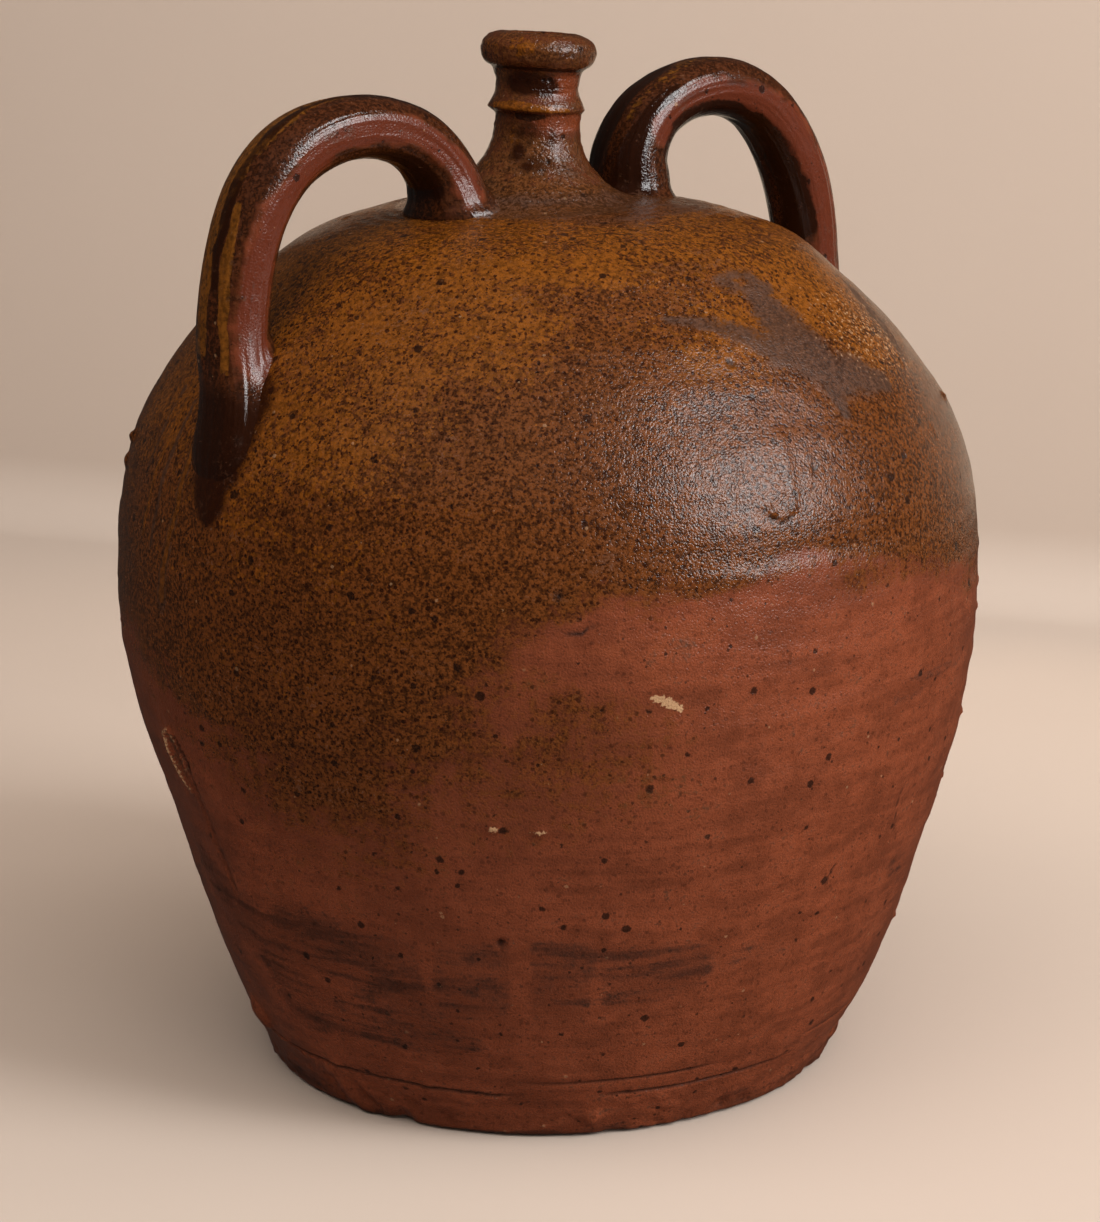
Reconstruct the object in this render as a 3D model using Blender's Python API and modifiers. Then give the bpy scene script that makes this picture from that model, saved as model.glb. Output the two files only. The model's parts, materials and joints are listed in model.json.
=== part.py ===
"""Two-handled glazed stoneware liquor jar, built from the pieces a potter throws and pulls.

Units are metres and +Z is up. The origin is the centre of the foot, on the surface the jar
stands on. The jar is a beaten floor disc, a lower and an upper thrown wall that meet in a lapped
seam under the belly, a thrown neck let into the shoulder, and two pulled strap handles.
"""

from dataclasses import dataclass
from math import cos, pi, radians, sin

import bmesh
import bpy
from mathutils import Matrix, Vector

# Driving dimensions of the walls
FOOT_RADIUS = 0.1355
BELLY_RADIUS = 0.199
BELLY_HEIGHT = 0.233
SHOULDER_HEIGHT = 0.3965
SEAM_DROP = 0.036
WALL_AT_FOOT = 0.013
WALL_AT_BELLY = 0.009
WALL_AT_CROWN = 0.012

# Foot and floor
FLOOR_THICKNESS = 0.012
TOE_WIDTH = 0.007
DISC_TAPER = 0.005
FLOOR_FILLET = 0.010
FOOT_BEVEL = 0.0015

# Two turned lines cut round the foot
LOWER_LINE_HEIGHT = 0.0253
UPPER_LINE_HEIGHT = 0.0355
LINE_WIDTH = 0.0020
LINE_DEPTH = 0.0008

# Lapped seam between the two thrown walls
TONGUE_HEIGHT = 0.0025
TONGUE_WIDTH = 0.0060

# Neck, measured up its own axis from the seat cut in the shoulder
NECK_SHIFT = -0.0072
NECK_LEAN = radians(3.0)
NECK_SEAT_DEPTH = 0.0055
NECK_HEIGHT = 0.0787
SKIRT_RADIUS = 0.050
SKIRT_EDGE = 0.003
SKIRT_FLARE_POWER = 2.8
COLLAR_RADIUS = 0.0192
BEAD_RADIUS = 0.0218
BEAD_CENTRE = 0.0460
BEAD_UNDERCUT = 0.0035
BEAD_SLOPE = 0.0040
BEAD_EDGE_SHARE = 0.25
BEAD_ROOT_SHARE = 0.33
WAIST_RADIUS = 0.0184
WAIST_CENTRE = 0.0550
LIP_RADIUS = 0.026
LIP_ROUND = 0.0092
LIP_DEPTH = 0.0158
LIP_ROOT_RADIUS = 0.0210
LIP_POWER = 2.1
BORE_RADIUS = 0.0125
MOUTH_RADIUS = 0.0140
MOUTH_DEPTH = 0.008
MOUTH_ROUND = 0.0020
THROAT_RADIUS = 0.018
THROAT_DEPTH = 0.014

# Strap handles, set across the neck from each other; an azimuth turns from +X towards +Y.
# A root is set out from the skirt, a crest above the shoulder, a foot below it, and the foot's
# centreline stands off the wall.
LEFT_AZIMUTH = radians(217)
RIGHT_AZIMUTH = radians(38)
STRAP_WIDTH = 0.0330
STRAP_THICKNESS = 0.0270
STRAP_OUTER_POWER = 2.3
STRAP_INNER_POWER = 2.4
LEFT_ROOT_OFFSET = 0.0027
LEFT_CREST_RISE = 0.0356
LEFT_FOOT_DROP = 0.0669
LEFT_STAND_OFF = 0.0008
RIGHT_ROOT_OFFSET = -0.0025
RIGHT_CREST_RISE = 0.0457
RIGHT_FOOT_DROP = 0.0590
RIGHT_STAND_OFF = 0.0011

# The seam lies this far below the belly
SEAM_HEIGHT = BELLY_HEIGHT - SEAM_DROP

# Clearance between luted pieces, and how far a cutter runs past what it cuts
FIT_GAP = 0.0003
OVERRUN = 0.010

# Rows of a profile lie at least this far apart, and turned ends merge within the second
ROW_SPACING = 0.0015
MERGE_DISTANCE = 0.00001

# Facets
WALL_STEP_COUNT = 64
NECK_STEP_COUNT = 40
OUTER_SPAN_COUNT = 2
INNER_SPAN_COUNT = 1
LIP_ROW_COUNT = 9
SKIRT_ROW_COUNT = 8
THROAT_ROW_COUNT = 3
STRAP_SPAN_COUNT = 2
STRAP_SIDE_COUNT = 20
WAIST_SPAN_COUNT = 2
SHARP_ANGLE = radians(40)

# Wall outline: share of the climb from foot to belly, share of the radius gained
FLANK_SHARES = ((0.0, 0.0), (0.06, 0.093), (0.16, 0.286), (0.30, 0.495), (0.44, 0.658),
                (0.585, 0.802), (0.725, 0.918), (0.865, 0.983), (1.0, 1.0))
# Wall outline: share of the climb from belly to crown, share of the belly radius left
DOME_SHARES = ((0.213, 0.985), (0.415, 0.931), (0.640, 0.803), (0.775, 0.685), (0.890, 0.567),
               (0.950, 0.449), (0.981, 0.331), (0.996, 0.190), (1.0, 0.0))

# Strap centreline and section: share of the reach past the root, share of the rise from foot to
# crest, share of the width, share of the thickness, and how far the strap wanders to its own left
# as a share of its width. The first and last stations lie in the wall.
LEFT_STRAP_SHARES = (
    (-0.094, 0.500, 1.36, 1.36, 0.00), (0.000, 0.641, 1.26, 1.20, 0.00),
    (0.056, 0.793, 1.07, 1.04, 0.00), (0.156, 0.914, 1.00, 1.00, 0.00),
    (0.291, 0.982, 1.00, 1.00, 0.00), (0.438, 1.000, 1.00, 1.00, 0.00),
    (0.584, 0.974, 1.00, 1.00, 0.00), (0.718, 0.902, 1.00, 1.00, 0.00),
    (0.824, 0.788, 1.00, 1.00, 0.00), (0.900, 0.647, 1.00, 1.00, 0.00),
    (0.948, 0.491, 1.00, 1.00, 0.00), (0.976, 0.329, 1.00, 1.00, 0.01),
    (0.990, 0.165, 1.02, 0.98, 0.07), (0.995, 0.000, 1.18, 0.92, 0.18),
    (1.025, -0.170, 0.98, 0.74, 0.23), (1.050, -0.330, 0.50, 0.45, 0.23))
RIGHT_STRAP_SHARES = (
    (-0.040, 0.387, 1.36, 1.44, 0.00), (0.000, 0.559, 1.26, 1.29, 0.00),
    (0.008, 0.727, 1.10, 1.12, 0.00), (0.088, 0.872, 1.03, 1.03, 0.00),
    (0.225, 0.962, 1.00, 1.00, 0.00), (0.378, 1.000, 1.00, 1.00, 0.00),
    (0.533, 0.988, 1.00, 1.00, 0.00), (0.678, 0.921, 1.00, 1.00, 0.00),
    (0.793, 0.804, 1.00, 1.00, 0.00), (0.881, 0.662, 1.00, 1.00, 0.00),
    (0.943, 0.505, 1.00, 1.00, 0.00), (0.982, 0.339, 1.00, 1.00, 0.00),
    (1.000, 0.167, 1.02, 0.98, 0.00), (1.004, 0.000, 1.16, 0.92, 0.00),
    (1.035, -0.167, 0.96, 0.74, 0.00), (1.070, -0.320, 0.50, 0.45, 0.00))


@dataclass(frozen=True)
class Strap:
    """Sizes of one handle, and the shares that its centreline and section follow."""

    azimuth: float
    root_offset: float
    crest_rise: float
    foot_drop: float
    stand_off: float
    shares: tuple


def clear_scene():
    """Remove every object that the scene starts with."""
    for item in list(bpy.data.objects):
        bpy.data.objects.remove(item, do_unlink=True)


def make_collection(name):
    """A new collection, linked to the scene."""
    collection = bpy.data.collections.new(name)
    bpy.context.scene.collection.children.link(collection)
    return collection


def make_material(name, colour, roughness):
    """A plain fired-clay finish: linear colour and roughness, no metal in it."""
    material = bpy.data.materials.new(name)
    material.use_nodes = True
    shader = material.node_tree.nodes["Principled BSDF"]
    shader.inputs["Base Color"].default_value = (*colour, 1.0)
    shader.inputs["Roughness"].default_value = roughness
    shader.inputs["Metallic"].default_value = 0.0
    return material


def add_object(name, mesh, collection, material=None):
    """Put a mesh in a collection as a named object."""
    item = bpy.data.objects.new(name, mesh)
    collection.objects.link(item)
    if material:
        mesh.materials.append(material)
    return item


def as_cutter(item):
    """Mark an object as a guide that only cuts others."""
    item.hide_render = True
    item.display_type = "WIRE"
    return item


def smooth_curve(points, span_count):
    """Stations on a Catmull-Rom curve through the points, span_count in each span."""
    knots = [Vector(point) for point in points]
    knots = [2 * knots[0] - knots[1], *knots, 2 * knots[-1] - knots[-2]]
    stations = []
    for before, start, end, after in zip(knots, knots[1:], knots[2:], knots[3:]):
        for row in range(span_count):
            t = row / span_count
            bend = 2 * before - 5 * start + 4 * end - after
            twist = 3 * start - before - 3 * end + after
            stations.append((2 * start + (end - before) * t + bend * t**2 + twist * t**3) / 2)
    stations.append(knots[-2])
    return [tuple(station) for station in stations]


def superellipse(angle, half_width, half_height, power):
    """A point on a rounded box section; power 2 is an ellipse."""
    across = abs(cos(angle)) ** (2 / power) * (1 if cos(angle) >= 0 else -1)
    up = abs(sin(angle)) ** (2 / power) * (1 if sin(angle) >= 0 else -1)
    return half_width * across, half_height * up


def offset_outline(points, distances):
    """Move each (radius, height) point square to the outline, outward if its distance is positive.

    The outline runs upward round the outside of the turned form.
    """
    moved = []
    last = len(points) - 1
    for index, ((radius, height), distance) in enumerate(zip(points, distances)):
        before = points[max(index - 1, 0)]
        after = points[min(index + 1, last)]
        along = Vector((after[0] - before[0], after[1] - before[1])).normalized()
        if radius == 0:
            along = Vector((-1, 0))
        moved.append((radius + along.y * distance, height - along.x * distance))
    return moved


def value_at(points, height):
    """Radius of an outline at a height, read between its points."""
    for (low_radius, low), (high_radius, high) in zip(points, points[1:]):
        if low <= height <= high:
            return low_radius + (high_radius - low_radius) * (height - low) / (high - low)
    return points[0][0] if height < points[0][1] else points[-1][0]


def wall_outline(span_count):
    """Outside of the thrown walls, from the foot up to the axis, as (radius, height)."""
    gained = BELLY_RADIUS - FOOT_RADIUS
    flank = [(FOOT_RADIUS + share * gained, climb * BELLY_HEIGHT) for climb, share in FLANK_SHARES]
    rise = SHOULDER_HEIGHT - BELLY_HEIGHT
    dome = [(share * BELLY_RADIUS, BELLY_HEIGHT + climb * rise) for climb, share in DOME_SHARES]
    return smooth_curve(flank + dome, span_count)


def wall_thickness(height):
    """Thickness of the thrown wall: heavy at the foot, thin at the belly, heavier at the crown."""
    if height < BELLY_HEIGHT:
        return WALL_AT_FOOT + (WALL_AT_BELLY - WALL_AT_FOOT) * height / BELLY_HEIGHT
    climb = (height - BELLY_HEIGHT) / (SHOULDER_HEIGHT - BELLY_HEIGHT)
    return WALL_AT_BELLY + (WALL_AT_CROWN - WALL_AT_BELLY) * climb


def inner_outline(span_count):
    """Inside of the thrown walls, from the foot up to the axis."""
    outside = wall_outline(span_count)
    return offset_outline(outside, [-wall_thickness(height) for _, height in outside])


def seam_rows(height):
    """The lapped seam from inside to outside, with its ridge in the middle of the wall."""
    inside = value_at(inner_outline(INNER_SPAN_COUNT), height)
    outside = value_at(wall_outline(OUTER_SPAN_COUNT), height)
    middle = (inside + outside) / 2
    half = TONGUE_WIDTH / 2
    return [(inside, height), (middle - half, height), (middle, height + TONGUE_HEIGHT),
            (middle + half, height), (outside, height)]


def turned_line(height, outline):
    """Three rows that cut one shallow line in the wall, bottom first."""
    half = LINE_WIDTH / 2
    return [(value_at(outline, height - half), height - half),
            (value_at(outline, height) - LINE_DEPTH, height),
            (value_at(outline, height + half), height + half)]


def turn(name, profile, steps, collection, material=None, closed=True):
    """Turn a profile round Z with a Screw modifier.

    The profile runs down the outer side, top to bottom, at +X.
    """
    mesh = bpy.data.meshes.new(name)
    count = len(profile)
    edges = [(index, index + 1) for index in range(count - 1)]
    if closed:
        edges.append((count - 1, 0))
    mesh.from_pydata([(radius, 0, height) for radius, height in profile], edges, [])
    item = add_object(name, mesh, collection, material)
    screw = item.modifiers.new("Turned", "SCREW")
    screw.axis = "Z"
    screw.angle = 2 * pi
    screw.steps = steps
    screw.render_steps = steps
    screw.use_merge_vertices = True
    screw.merge_threshold = MERGE_DISTANCE
    screw.use_smooth_shade = True
    return item


def cut(item, cutter, name, solver="EXACT"):
    """Take a cutter's volume out of an object."""
    modifier = item.modifiers.new(name, "BOOLEAN")
    modifier.operation = "DIFFERENCE"
    modifier.solver = solver
    modifier.object = cutter


def make_base_disc(collection, material):
    """Beaten floor disc; its tapered edge is held by the wall drawn down over it."""
    bottom_radius = FOOT_RADIUS - TOE_WIDTH - FIT_GAP
    form = bmesh.new()
    bmesh.ops.create_cone(form, cap_ends=True, segments=WALL_STEP_COUNT, radius1=bottom_radius,
                          radius2=bottom_radius - DISC_TAPER, depth=FLOOR_THICKNESS,
                          matrix=Matrix.Translation((0, 0, FLOOR_THICKNESS / 2)))
    mesh = bpy.data.meshes.new("base_disc")
    form.to_mesh(mesh)
    form.free()
    return add_object("base_disc", mesh, collection, material)


def make_lower_wall(collection, material):
    """Lower thrown wall: foot, flank with its two turned lines, and the seam's ridge."""
    outline = wall_outline(OUTER_SPAN_COUNT)
    inside = inner_outline(INNER_SPAN_COUNT)
    lines = [turned_line(height, outline) for height in (LOWER_LINE_HEIGHT, UPPER_LINE_HEIGHT)]
    rows = [point for point in outline
            if FOOT_BEVEL + ROW_SPACING < point[1] < SEAM_HEIGHT - ROW_SPACING]
    for line in lines:
        rows = [point for point in rows if not line[0][1] <= point[1] <= line[-1][1]]
    rows += [point for line in lines for point in line]
    rows.append((value_at(outline, FOOT_BEVEL), FOOT_BEVEL))
    rows.sort(key=lambda point: -point[1])

    toe = FOOT_RADIUS - TOE_WIDTH
    floor_radius = toe - DISC_TAPER
    fillet_top = FLOOR_THICKNESS + FLOOR_FILLET
    spread = value_at(inside, fillet_top) - floor_radius
    bend = pi / 4
    foot = [(FOOT_RADIUS - FOOT_BEVEL, 0), (toe, 0), (floor_radius, FLOOR_THICKNESS),
            (floor_radius + spread * sin(bend), FLOOR_THICKNESS + FLOOR_FILLET * (1 - cos(bend))),
            (floor_radius + spread, fillet_top)]
    climb = [point for point in inside
             if fillet_top + ROW_SPACING < point[1] < SEAM_HEIGHT - ROW_SPACING]
    profile = rows + foot + climb + seam_rows(SEAM_HEIGHT)
    return turn("lower_wall", profile, WALL_STEP_COUNT, collection, material)


def make_upper_wall(collection, material):
    """Upper thrown wall: belly and shoulder, closed over at the crown before the throat is cut."""
    seat = SEAM_HEIGHT + FIT_GAP
    outline = wall_outline(OUTER_SPAN_COUNT)
    inside = inner_outline(INNER_SPAN_COUNT)
    rows = [point for point in reversed(outline) if point[1] > seat + ROW_SPACING]
    climb = [point for point in inside if point[1] > seat + ROW_SPACING]
    profile = rows + list(reversed(seam_rows(seat))) + climb
    return turn("upper_wall", profile, WALL_STEP_COUNT, collection, material, closed=False)


def neck_outline():
    """Outside of the neck from the skirt's lower edge up to the top of the lip."""
    collar_height = BEAD_CENTRE - BEAD_UNDERCUT
    flare = SKIRT_RADIUS - COLLAR_RADIUS
    skirt = [(SKIRT_RADIUS, 0)]
    for row in range(SKIRT_ROW_COUNT + 1):
        share = row / SKIRT_ROW_COUNT
        radius = COLLAR_RADIUS + flare * (1 - share) ** SKIRT_FLARE_POWER
        skirt.append((radius, SKIRT_EDGE + share * (collar_height - SKIRT_EDGE)))
    bead = [(BEAD_RADIUS, BEAD_CENTRE)]
    lip_bottom = NECK_HEIGHT - LIP_DEPTH
    bead_root = WAIST_RADIUS + BEAD_ROOT_SHARE * (BEAD_RADIUS - WAIST_RADIUS)
    waist = smooth_curve(((BEAD_RADIUS, BEAD_CENTRE + BEAD_EDGE_SHARE * BEAD_SLOPE),
                          (bead_root, BEAD_CENTRE + BEAD_SLOPE), (WAIST_RADIUS, WAIST_CENTRE),
                          (LIP_ROOT_RADIUS, lip_bottom)), WAIST_SPAN_COUNT)
    lip = []
    for row in range(LIP_ROW_COUNT):
        angle = pi * row / (LIP_ROW_COUNT - 1) - pi / 2
        out, up = superellipse(angle, LIP_ROUND, LIP_DEPTH / 2, LIP_POWER)
        out = max(out, LIP_ROOT_RADIUS - LIP_RADIUS + LIP_ROUND) if up < 0 else out
        lip.append((LIP_RADIUS - LIP_ROUND + out, lip_bottom + LIP_DEPTH / 2 + up))
    return skirt + bead + waist[:-1] + lip


def neck_bore():
    """Inside of the neck from the mouth down to the throat, where it opens out."""
    rows = [(MOUTH_RADIUS + MOUTH_ROUND, NECK_HEIGHT), (MOUTH_RADIUS, NECK_HEIGHT - MOUTH_ROUND),
            (BORE_RADIUS, NECK_HEIGHT - MOUTH_DEPTH)]
    for row in range(THROAT_ROW_COUNT + 1):
        share = row / THROAT_ROW_COUNT
        radius = BORE_RADIUS + (THROAT_RADIUS - BORE_RADIUS) * share**2
        rows.append((radius, THROAT_DEPTH * (1 - share)))
    return rows


def stand_neck(item):
    """Set something made in the neck's own frame on the seat, with the neck's lean."""
    item.location = (NECK_SHIFT, 0, SHOULDER_HEIGHT - NECK_SEAT_DEPTH)
    item.rotation_euler = (0, NECK_LEAN, 0)
    return item


def make_neck(collection, material):
    """Thrown neck with skirt, raised bead and rolled lip."""
    profile = list(reversed(neck_outline())) + list(reversed(neck_bore()))
    return stand_neck(turn("neck", profile, NECK_STEP_COUNT, collection, material))


def make_neck_clearance(collection):
    """The neck's outer volume, larger all round by the fit gap."""
    outline = neck_outline()
    grown = offset_outline(outline, [FIT_GAP] * len(outline))
    grown[0] = (SKIRT_RADIUS + FIT_GAP, -FIT_GAP)
    profile = [(0, grown[-1][1])] + list(reversed(grown)) + [(0, -FIT_GAP)]
    return as_cutter(stand_neck(turn("neck_clearance", profile, NECK_STEP_COUNT, collection, closed=False)))


def make_throat_cutter(collection):
    """Cylinder that opens the throat under the neck."""
    depth = WALL_AT_CROWN + 2 * OVERRUN
    form = bmesh.new()
    bmesh.ops.create_cone(form, cap_ends=True, segments=NECK_STEP_COUNT, radius1=THROAT_RADIUS,
                          radius2=THROAT_RADIUS, depth=depth)
    mesh = bpy.data.meshes.new("throat_cutter")
    form.to_mesh(mesh)
    form.free()
    return as_cutter(stand_neck(add_object("throat_cutter", mesh, collection)))


def make_wall_clearance(collection):
    """The upper wall's whole outer volume, larger all round by the fit gap."""
    outline = wall_outline(OUTER_SPAN_COUNT)
    grown = offset_outline(outline, [FIT_GAP] * len(outline))
    rows = [point for point in reversed(grown) if point[1] > SEAM_HEIGHT]
    profile = rows + [(0, rows[-1][1])]
    return as_cutter(turn("wall_clearance", profile, WALL_STEP_COUNT, collection, closed=False))


def strap_stations(strap):
    """Radius, height, half width, half thickness and sideways place down the strap."""
    foot_height = SHOULDER_HEIGHT - strap.foot_drop
    reach = value_at(wall_outline(OUTER_SPAN_COUNT), foot_height) + strap.stand_off
    root_radius = SKIRT_RADIUS + strap.root_offset
    run = reach - root_radius
    rise = strap.crest_rise + strap.foot_drop
    knots = [(root_radius + out * run, foot_height + up * rise,
              wide * STRAP_WIDTH / 2, thick * STRAP_THICKNESS / 2, aside * STRAP_WIDTH)
             for out, up, wide, thick, aside in strap.shares]
    return smooth_curve(knots, STRAP_SPAN_COUNT)


def make_handle(name, strap, cutters, collection, material):
    """Pulled strap lofted along its arch, with its ends cut to sit on the shoulder and skirt."""
    stations = strap_stations(strap)
    form = bmesh.new()
    rings = []
    last = len(stations) - 1
    for index, (radius, height, half_width, half_thickness, aside) in enumerate(stations):
        before = stations[max(index - 1, 0)]
        after = stations[min(index + 1, last)]
        along = Vector((after[0] - before[0], 0, after[1] - before[1])).normalized()
        outward = Vector((-along.z, 0, along.x))
        ring = []
        for side in range(STRAP_SIDE_COUNT):
            angle = 2 * pi * side / STRAP_SIDE_COUNT
            power = STRAP_OUTER_POWER if sin(angle) >= 0 else STRAP_INNER_POWER
            across, out = superellipse(angle, half_width, half_thickness, power)
            ring.append(form.verts.new(Vector((radius, across + aside, height)) + outward * out))
        rings.append(ring)
    for ring, following in zip(rings, rings[1:]):
        for side in range(STRAP_SIDE_COUNT):
            beside = (side + 1) % STRAP_SIDE_COUNT
            form.faces.new((ring[side], ring[beside], following[beside], following[side]))
    form.faces.new(list(reversed(rings[0])))
    form.faces.new(rings[-1])
    bmesh.ops.recalc_face_normals(form, faces=form.faces)
    mesh = bpy.data.meshes.new(name)
    form.to_mesh(mesh)
    form.free()
    mesh.shade_smooth()
    mesh.set_sharp_from_angle(angle=SHARP_ANGLE)
    item = add_object(name, mesh, collection, material)
    item.rotation_euler = (0, 0, strap.azimuth)
    # A strap's thin end meets two cutters at once, which the EXACT solver loses at some belly sizes.
    for cutter in cutters:
        cut(item, cutter, "Seat on " + cutter.name, solver="MANIFOLD")
    return item


def build_jar():
    """Build every piece of the jar."""
    clear_scene()
    jar = make_collection("Glazed liquor jar")
    guides = make_collection("Cutters")
    bare_clay = make_material("bare_clay", (0.20, 0.085, 0.050), 0.85)
    red_slip = make_material("red_slip", (0.19, 0.046, 0.027), 0.50)
    ash_glaze = make_material("ash_glaze", (0.36, 0.150, 0.035), 0.42)
    neck_glaze = make_material("neck_glaze", (0.13, 0.040, 0.020), 0.28)
    strap_glaze = make_material("strap_glaze", (0.10, 0.028, 0.018), 0.28)

    make_base_disc(jar, bare_clay)
    make_lower_wall(jar, red_slip)
    upper_wall = make_upper_wall(jar, ash_glaze)
    make_neck(jar, neck_glaze)

    neck_clearance = make_neck_clearance(guides)
    throat_cutter = make_throat_cutter(guides)
    wall_clearance = make_wall_clearance(guides)
    cut(upper_wall, neck_clearance, "Seat for the neck")
    cut(upper_wall, throat_cutter, "Throat")

    left = Strap(LEFT_AZIMUTH, LEFT_ROOT_OFFSET, LEFT_CREST_RISE, LEFT_FOOT_DROP, LEFT_STAND_OFF,
                 LEFT_STRAP_SHARES)
    right = Strap(RIGHT_AZIMUTH, RIGHT_ROOT_OFFSET, RIGHT_CREST_RISE, RIGHT_FOOT_DROP,
                  RIGHT_STAND_OFF, RIGHT_STRAP_SHARES)
    seats = (wall_clearance, neck_clearance)
    make_handle("handle_left", left, seats, jar, strap_glaze)
    make_handle("handle_right", right, seats, jar, strap_glaze)


build_jar()
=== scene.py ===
"""Looks of a two-handled stoneware liquor jar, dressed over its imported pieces.

Units are metres and +Z is up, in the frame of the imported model. The jar's walls, neck and straps
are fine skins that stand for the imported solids, each with the potter's marks in its mesh and a
fired finish made of shader nodes. Azimuths turn from +X towards +Y and are written in degrees.
"""

from __future__ import annotations

import json
import logging
from collections.abc import Iterable, Sequence
from dataclasses import dataclass
from enum import Enum
from math import cos, pi, radians, sin
from typing import Any

import bpy
import numpy as np
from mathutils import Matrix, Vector

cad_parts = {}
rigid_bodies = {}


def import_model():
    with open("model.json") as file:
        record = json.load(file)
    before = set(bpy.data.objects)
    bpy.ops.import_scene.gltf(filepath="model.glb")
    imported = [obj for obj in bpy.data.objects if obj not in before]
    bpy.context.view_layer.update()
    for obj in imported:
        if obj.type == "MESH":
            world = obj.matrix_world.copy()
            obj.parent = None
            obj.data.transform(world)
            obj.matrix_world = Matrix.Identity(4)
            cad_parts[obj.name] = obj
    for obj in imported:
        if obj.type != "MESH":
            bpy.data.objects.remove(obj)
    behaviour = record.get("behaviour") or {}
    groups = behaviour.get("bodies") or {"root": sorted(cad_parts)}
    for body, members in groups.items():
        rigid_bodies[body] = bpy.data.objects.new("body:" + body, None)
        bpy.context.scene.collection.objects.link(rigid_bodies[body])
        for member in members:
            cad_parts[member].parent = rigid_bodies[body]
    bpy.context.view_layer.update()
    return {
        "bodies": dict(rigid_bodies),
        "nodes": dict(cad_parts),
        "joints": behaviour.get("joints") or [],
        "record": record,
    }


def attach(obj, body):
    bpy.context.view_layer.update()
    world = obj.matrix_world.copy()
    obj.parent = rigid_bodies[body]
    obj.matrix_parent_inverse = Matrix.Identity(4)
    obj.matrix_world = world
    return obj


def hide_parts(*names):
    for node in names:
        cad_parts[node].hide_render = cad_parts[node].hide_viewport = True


LOG = logging.getLogger("jar")

Field = np.ndarray
Colour = tuple[float, float, float]
Pair = tuple[float, float]
Triple = tuple[float, float, float]


class Zone(Enum):
    """What lies on the clay, or shade and sheen painted on it; its value names the attribute of its cover.
    """

    OCHRE = "ochre"
    BROWN = "brown"
    SMEAR = "smear"
    SOOT = "soot"
    # Pooled dark glaze, and also painted shade under the straps, the lip and the bead.
    POOL_AND_SHADE = "pool"
    BLUSH = "blush"
    # Bare chips, and also painted glints and a painted sheen on the wall.
    PALE_AND_PAINTED_SHEEN = "pale"
    # Painted shade in cut lines, a flaw and pits.
    GROOVE_SHADE = "groove"
    RUN = "run"
    CLEAR = "clear"


def wrapped(angle: Field) -> Field:
    """Bring angles into the range from -pi to pi."""
    return (angle + pi) % (2 * pi) - pi


def smoothstep(value: Field, low: float, high: float) -> Field:
    """Rise smoothly from 0 at low to 1 at high; low may be the larger of the two."""
    share = np.clip((value - low) / (high - low), 0.0, 1.0)
    return share * share * (3 - 2 * share)


def smooth_curve(knots: Sequence[Sequence[float]], samples: int) -> Field:
    """Draw a smooth curve through knots.

    Args:
        knots: Points of any one dimension, in order.
        samples: Points made in each span.

    Returns:
        The curve's points, one in each row.
    """
    inner = np.array(knots, float)
    ends = 2 * inner[[0, -1]] - inner[[1, -2]]
    whole = np.concatenate((ends[:1], inner, ends[1:]))
    share = np.linspace(0.0, 1.0, samples, endpoint=False)[:, None]
    spans = []
    for before, start, end, after in zip(whole, whole[1:], whole[2:], whole[3:]):
        bend = 2 * before - 5 * start + 4 * end - after
        twist = 3 * start - before - 3 * end + after
        spans.append((2 * start + (end - before) * share + bend * share**2 + twist * share**3) / 2)
    return np.concatenate([*spans, inner[-1:]])


def ring_value(azimuth: Field, knots: Sequence[Pair]) -> Field:
    """Read a value that goes smoothly round the jar through chosen knots.

    Args:
        azimuth: Angles to read, in radians.
        knots: Pairs of azimuth in degrees and value, in rising order of azimuth.

    Returns:
        The value at each angle.
    """
    turn, samples = 360.0, 12
    around = [(angle + shift, value) for shift in (-turn, 0.0, turn) for angle, value in knots]
    curve = smooth_curve(around, samples)
    return np.interp(np.degrees(wrapped(azimuth)), curve[:, 0], curve[:, 1])


@dataclass(frozen=True)
class Ripple:
    """One layer of smooth random relief, made of plane waves through space.

    Attributes:
        height: About how far its crests are raised.
        wavelength: Usual distance between two crests.
        seed: Number that fixes the waves.
        stretch: How much longer the waves are along x, y and z.
    """

    height: float
    wavelength: float
    seed: int
    stretch: Triple = (1, 1, 1)

    def raised(self, points: Field, shift: int = 0) -> Field:
        """Read the relief.

        Args:
            points: Places to read, with x, y and z in the last axis.
            shift: Added to the seed, so that pieces of one kind differ.

        Returns:
            The relief at every place.
        """
        wave_count = 28
        chance = np.random.default_rng(self.seed + shift)
        headings = chance.normal(size=(wave_count, 3))
        headings /= np.linalg.norm(headings, axis=1, keepdims=True)
        lengths = self.wavelength * chance.uniform(0.7, 1.4, wave_count)
        phases = chance.uniform(0, 2 * pi, wave_count)
        places = points / np.array(self.stretch, float)
        total = np.zeros(points.shape[:-1])
        for heading, length, phase in zip(headings, lengths, phases):
            total += np.sin(places @ heading * (2 * pi / length) + phase)
        return self.height * (total * np.sqrt(2 / wave_count))


def rippled(points: Field, ripples: Iterable[Ripple], shift: int = 0) -> Field:
    """Sum of ripples at every place, with their seeds shifted."""
    return sum(ripple.raised(points, shift) for ripple in ripples)


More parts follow.
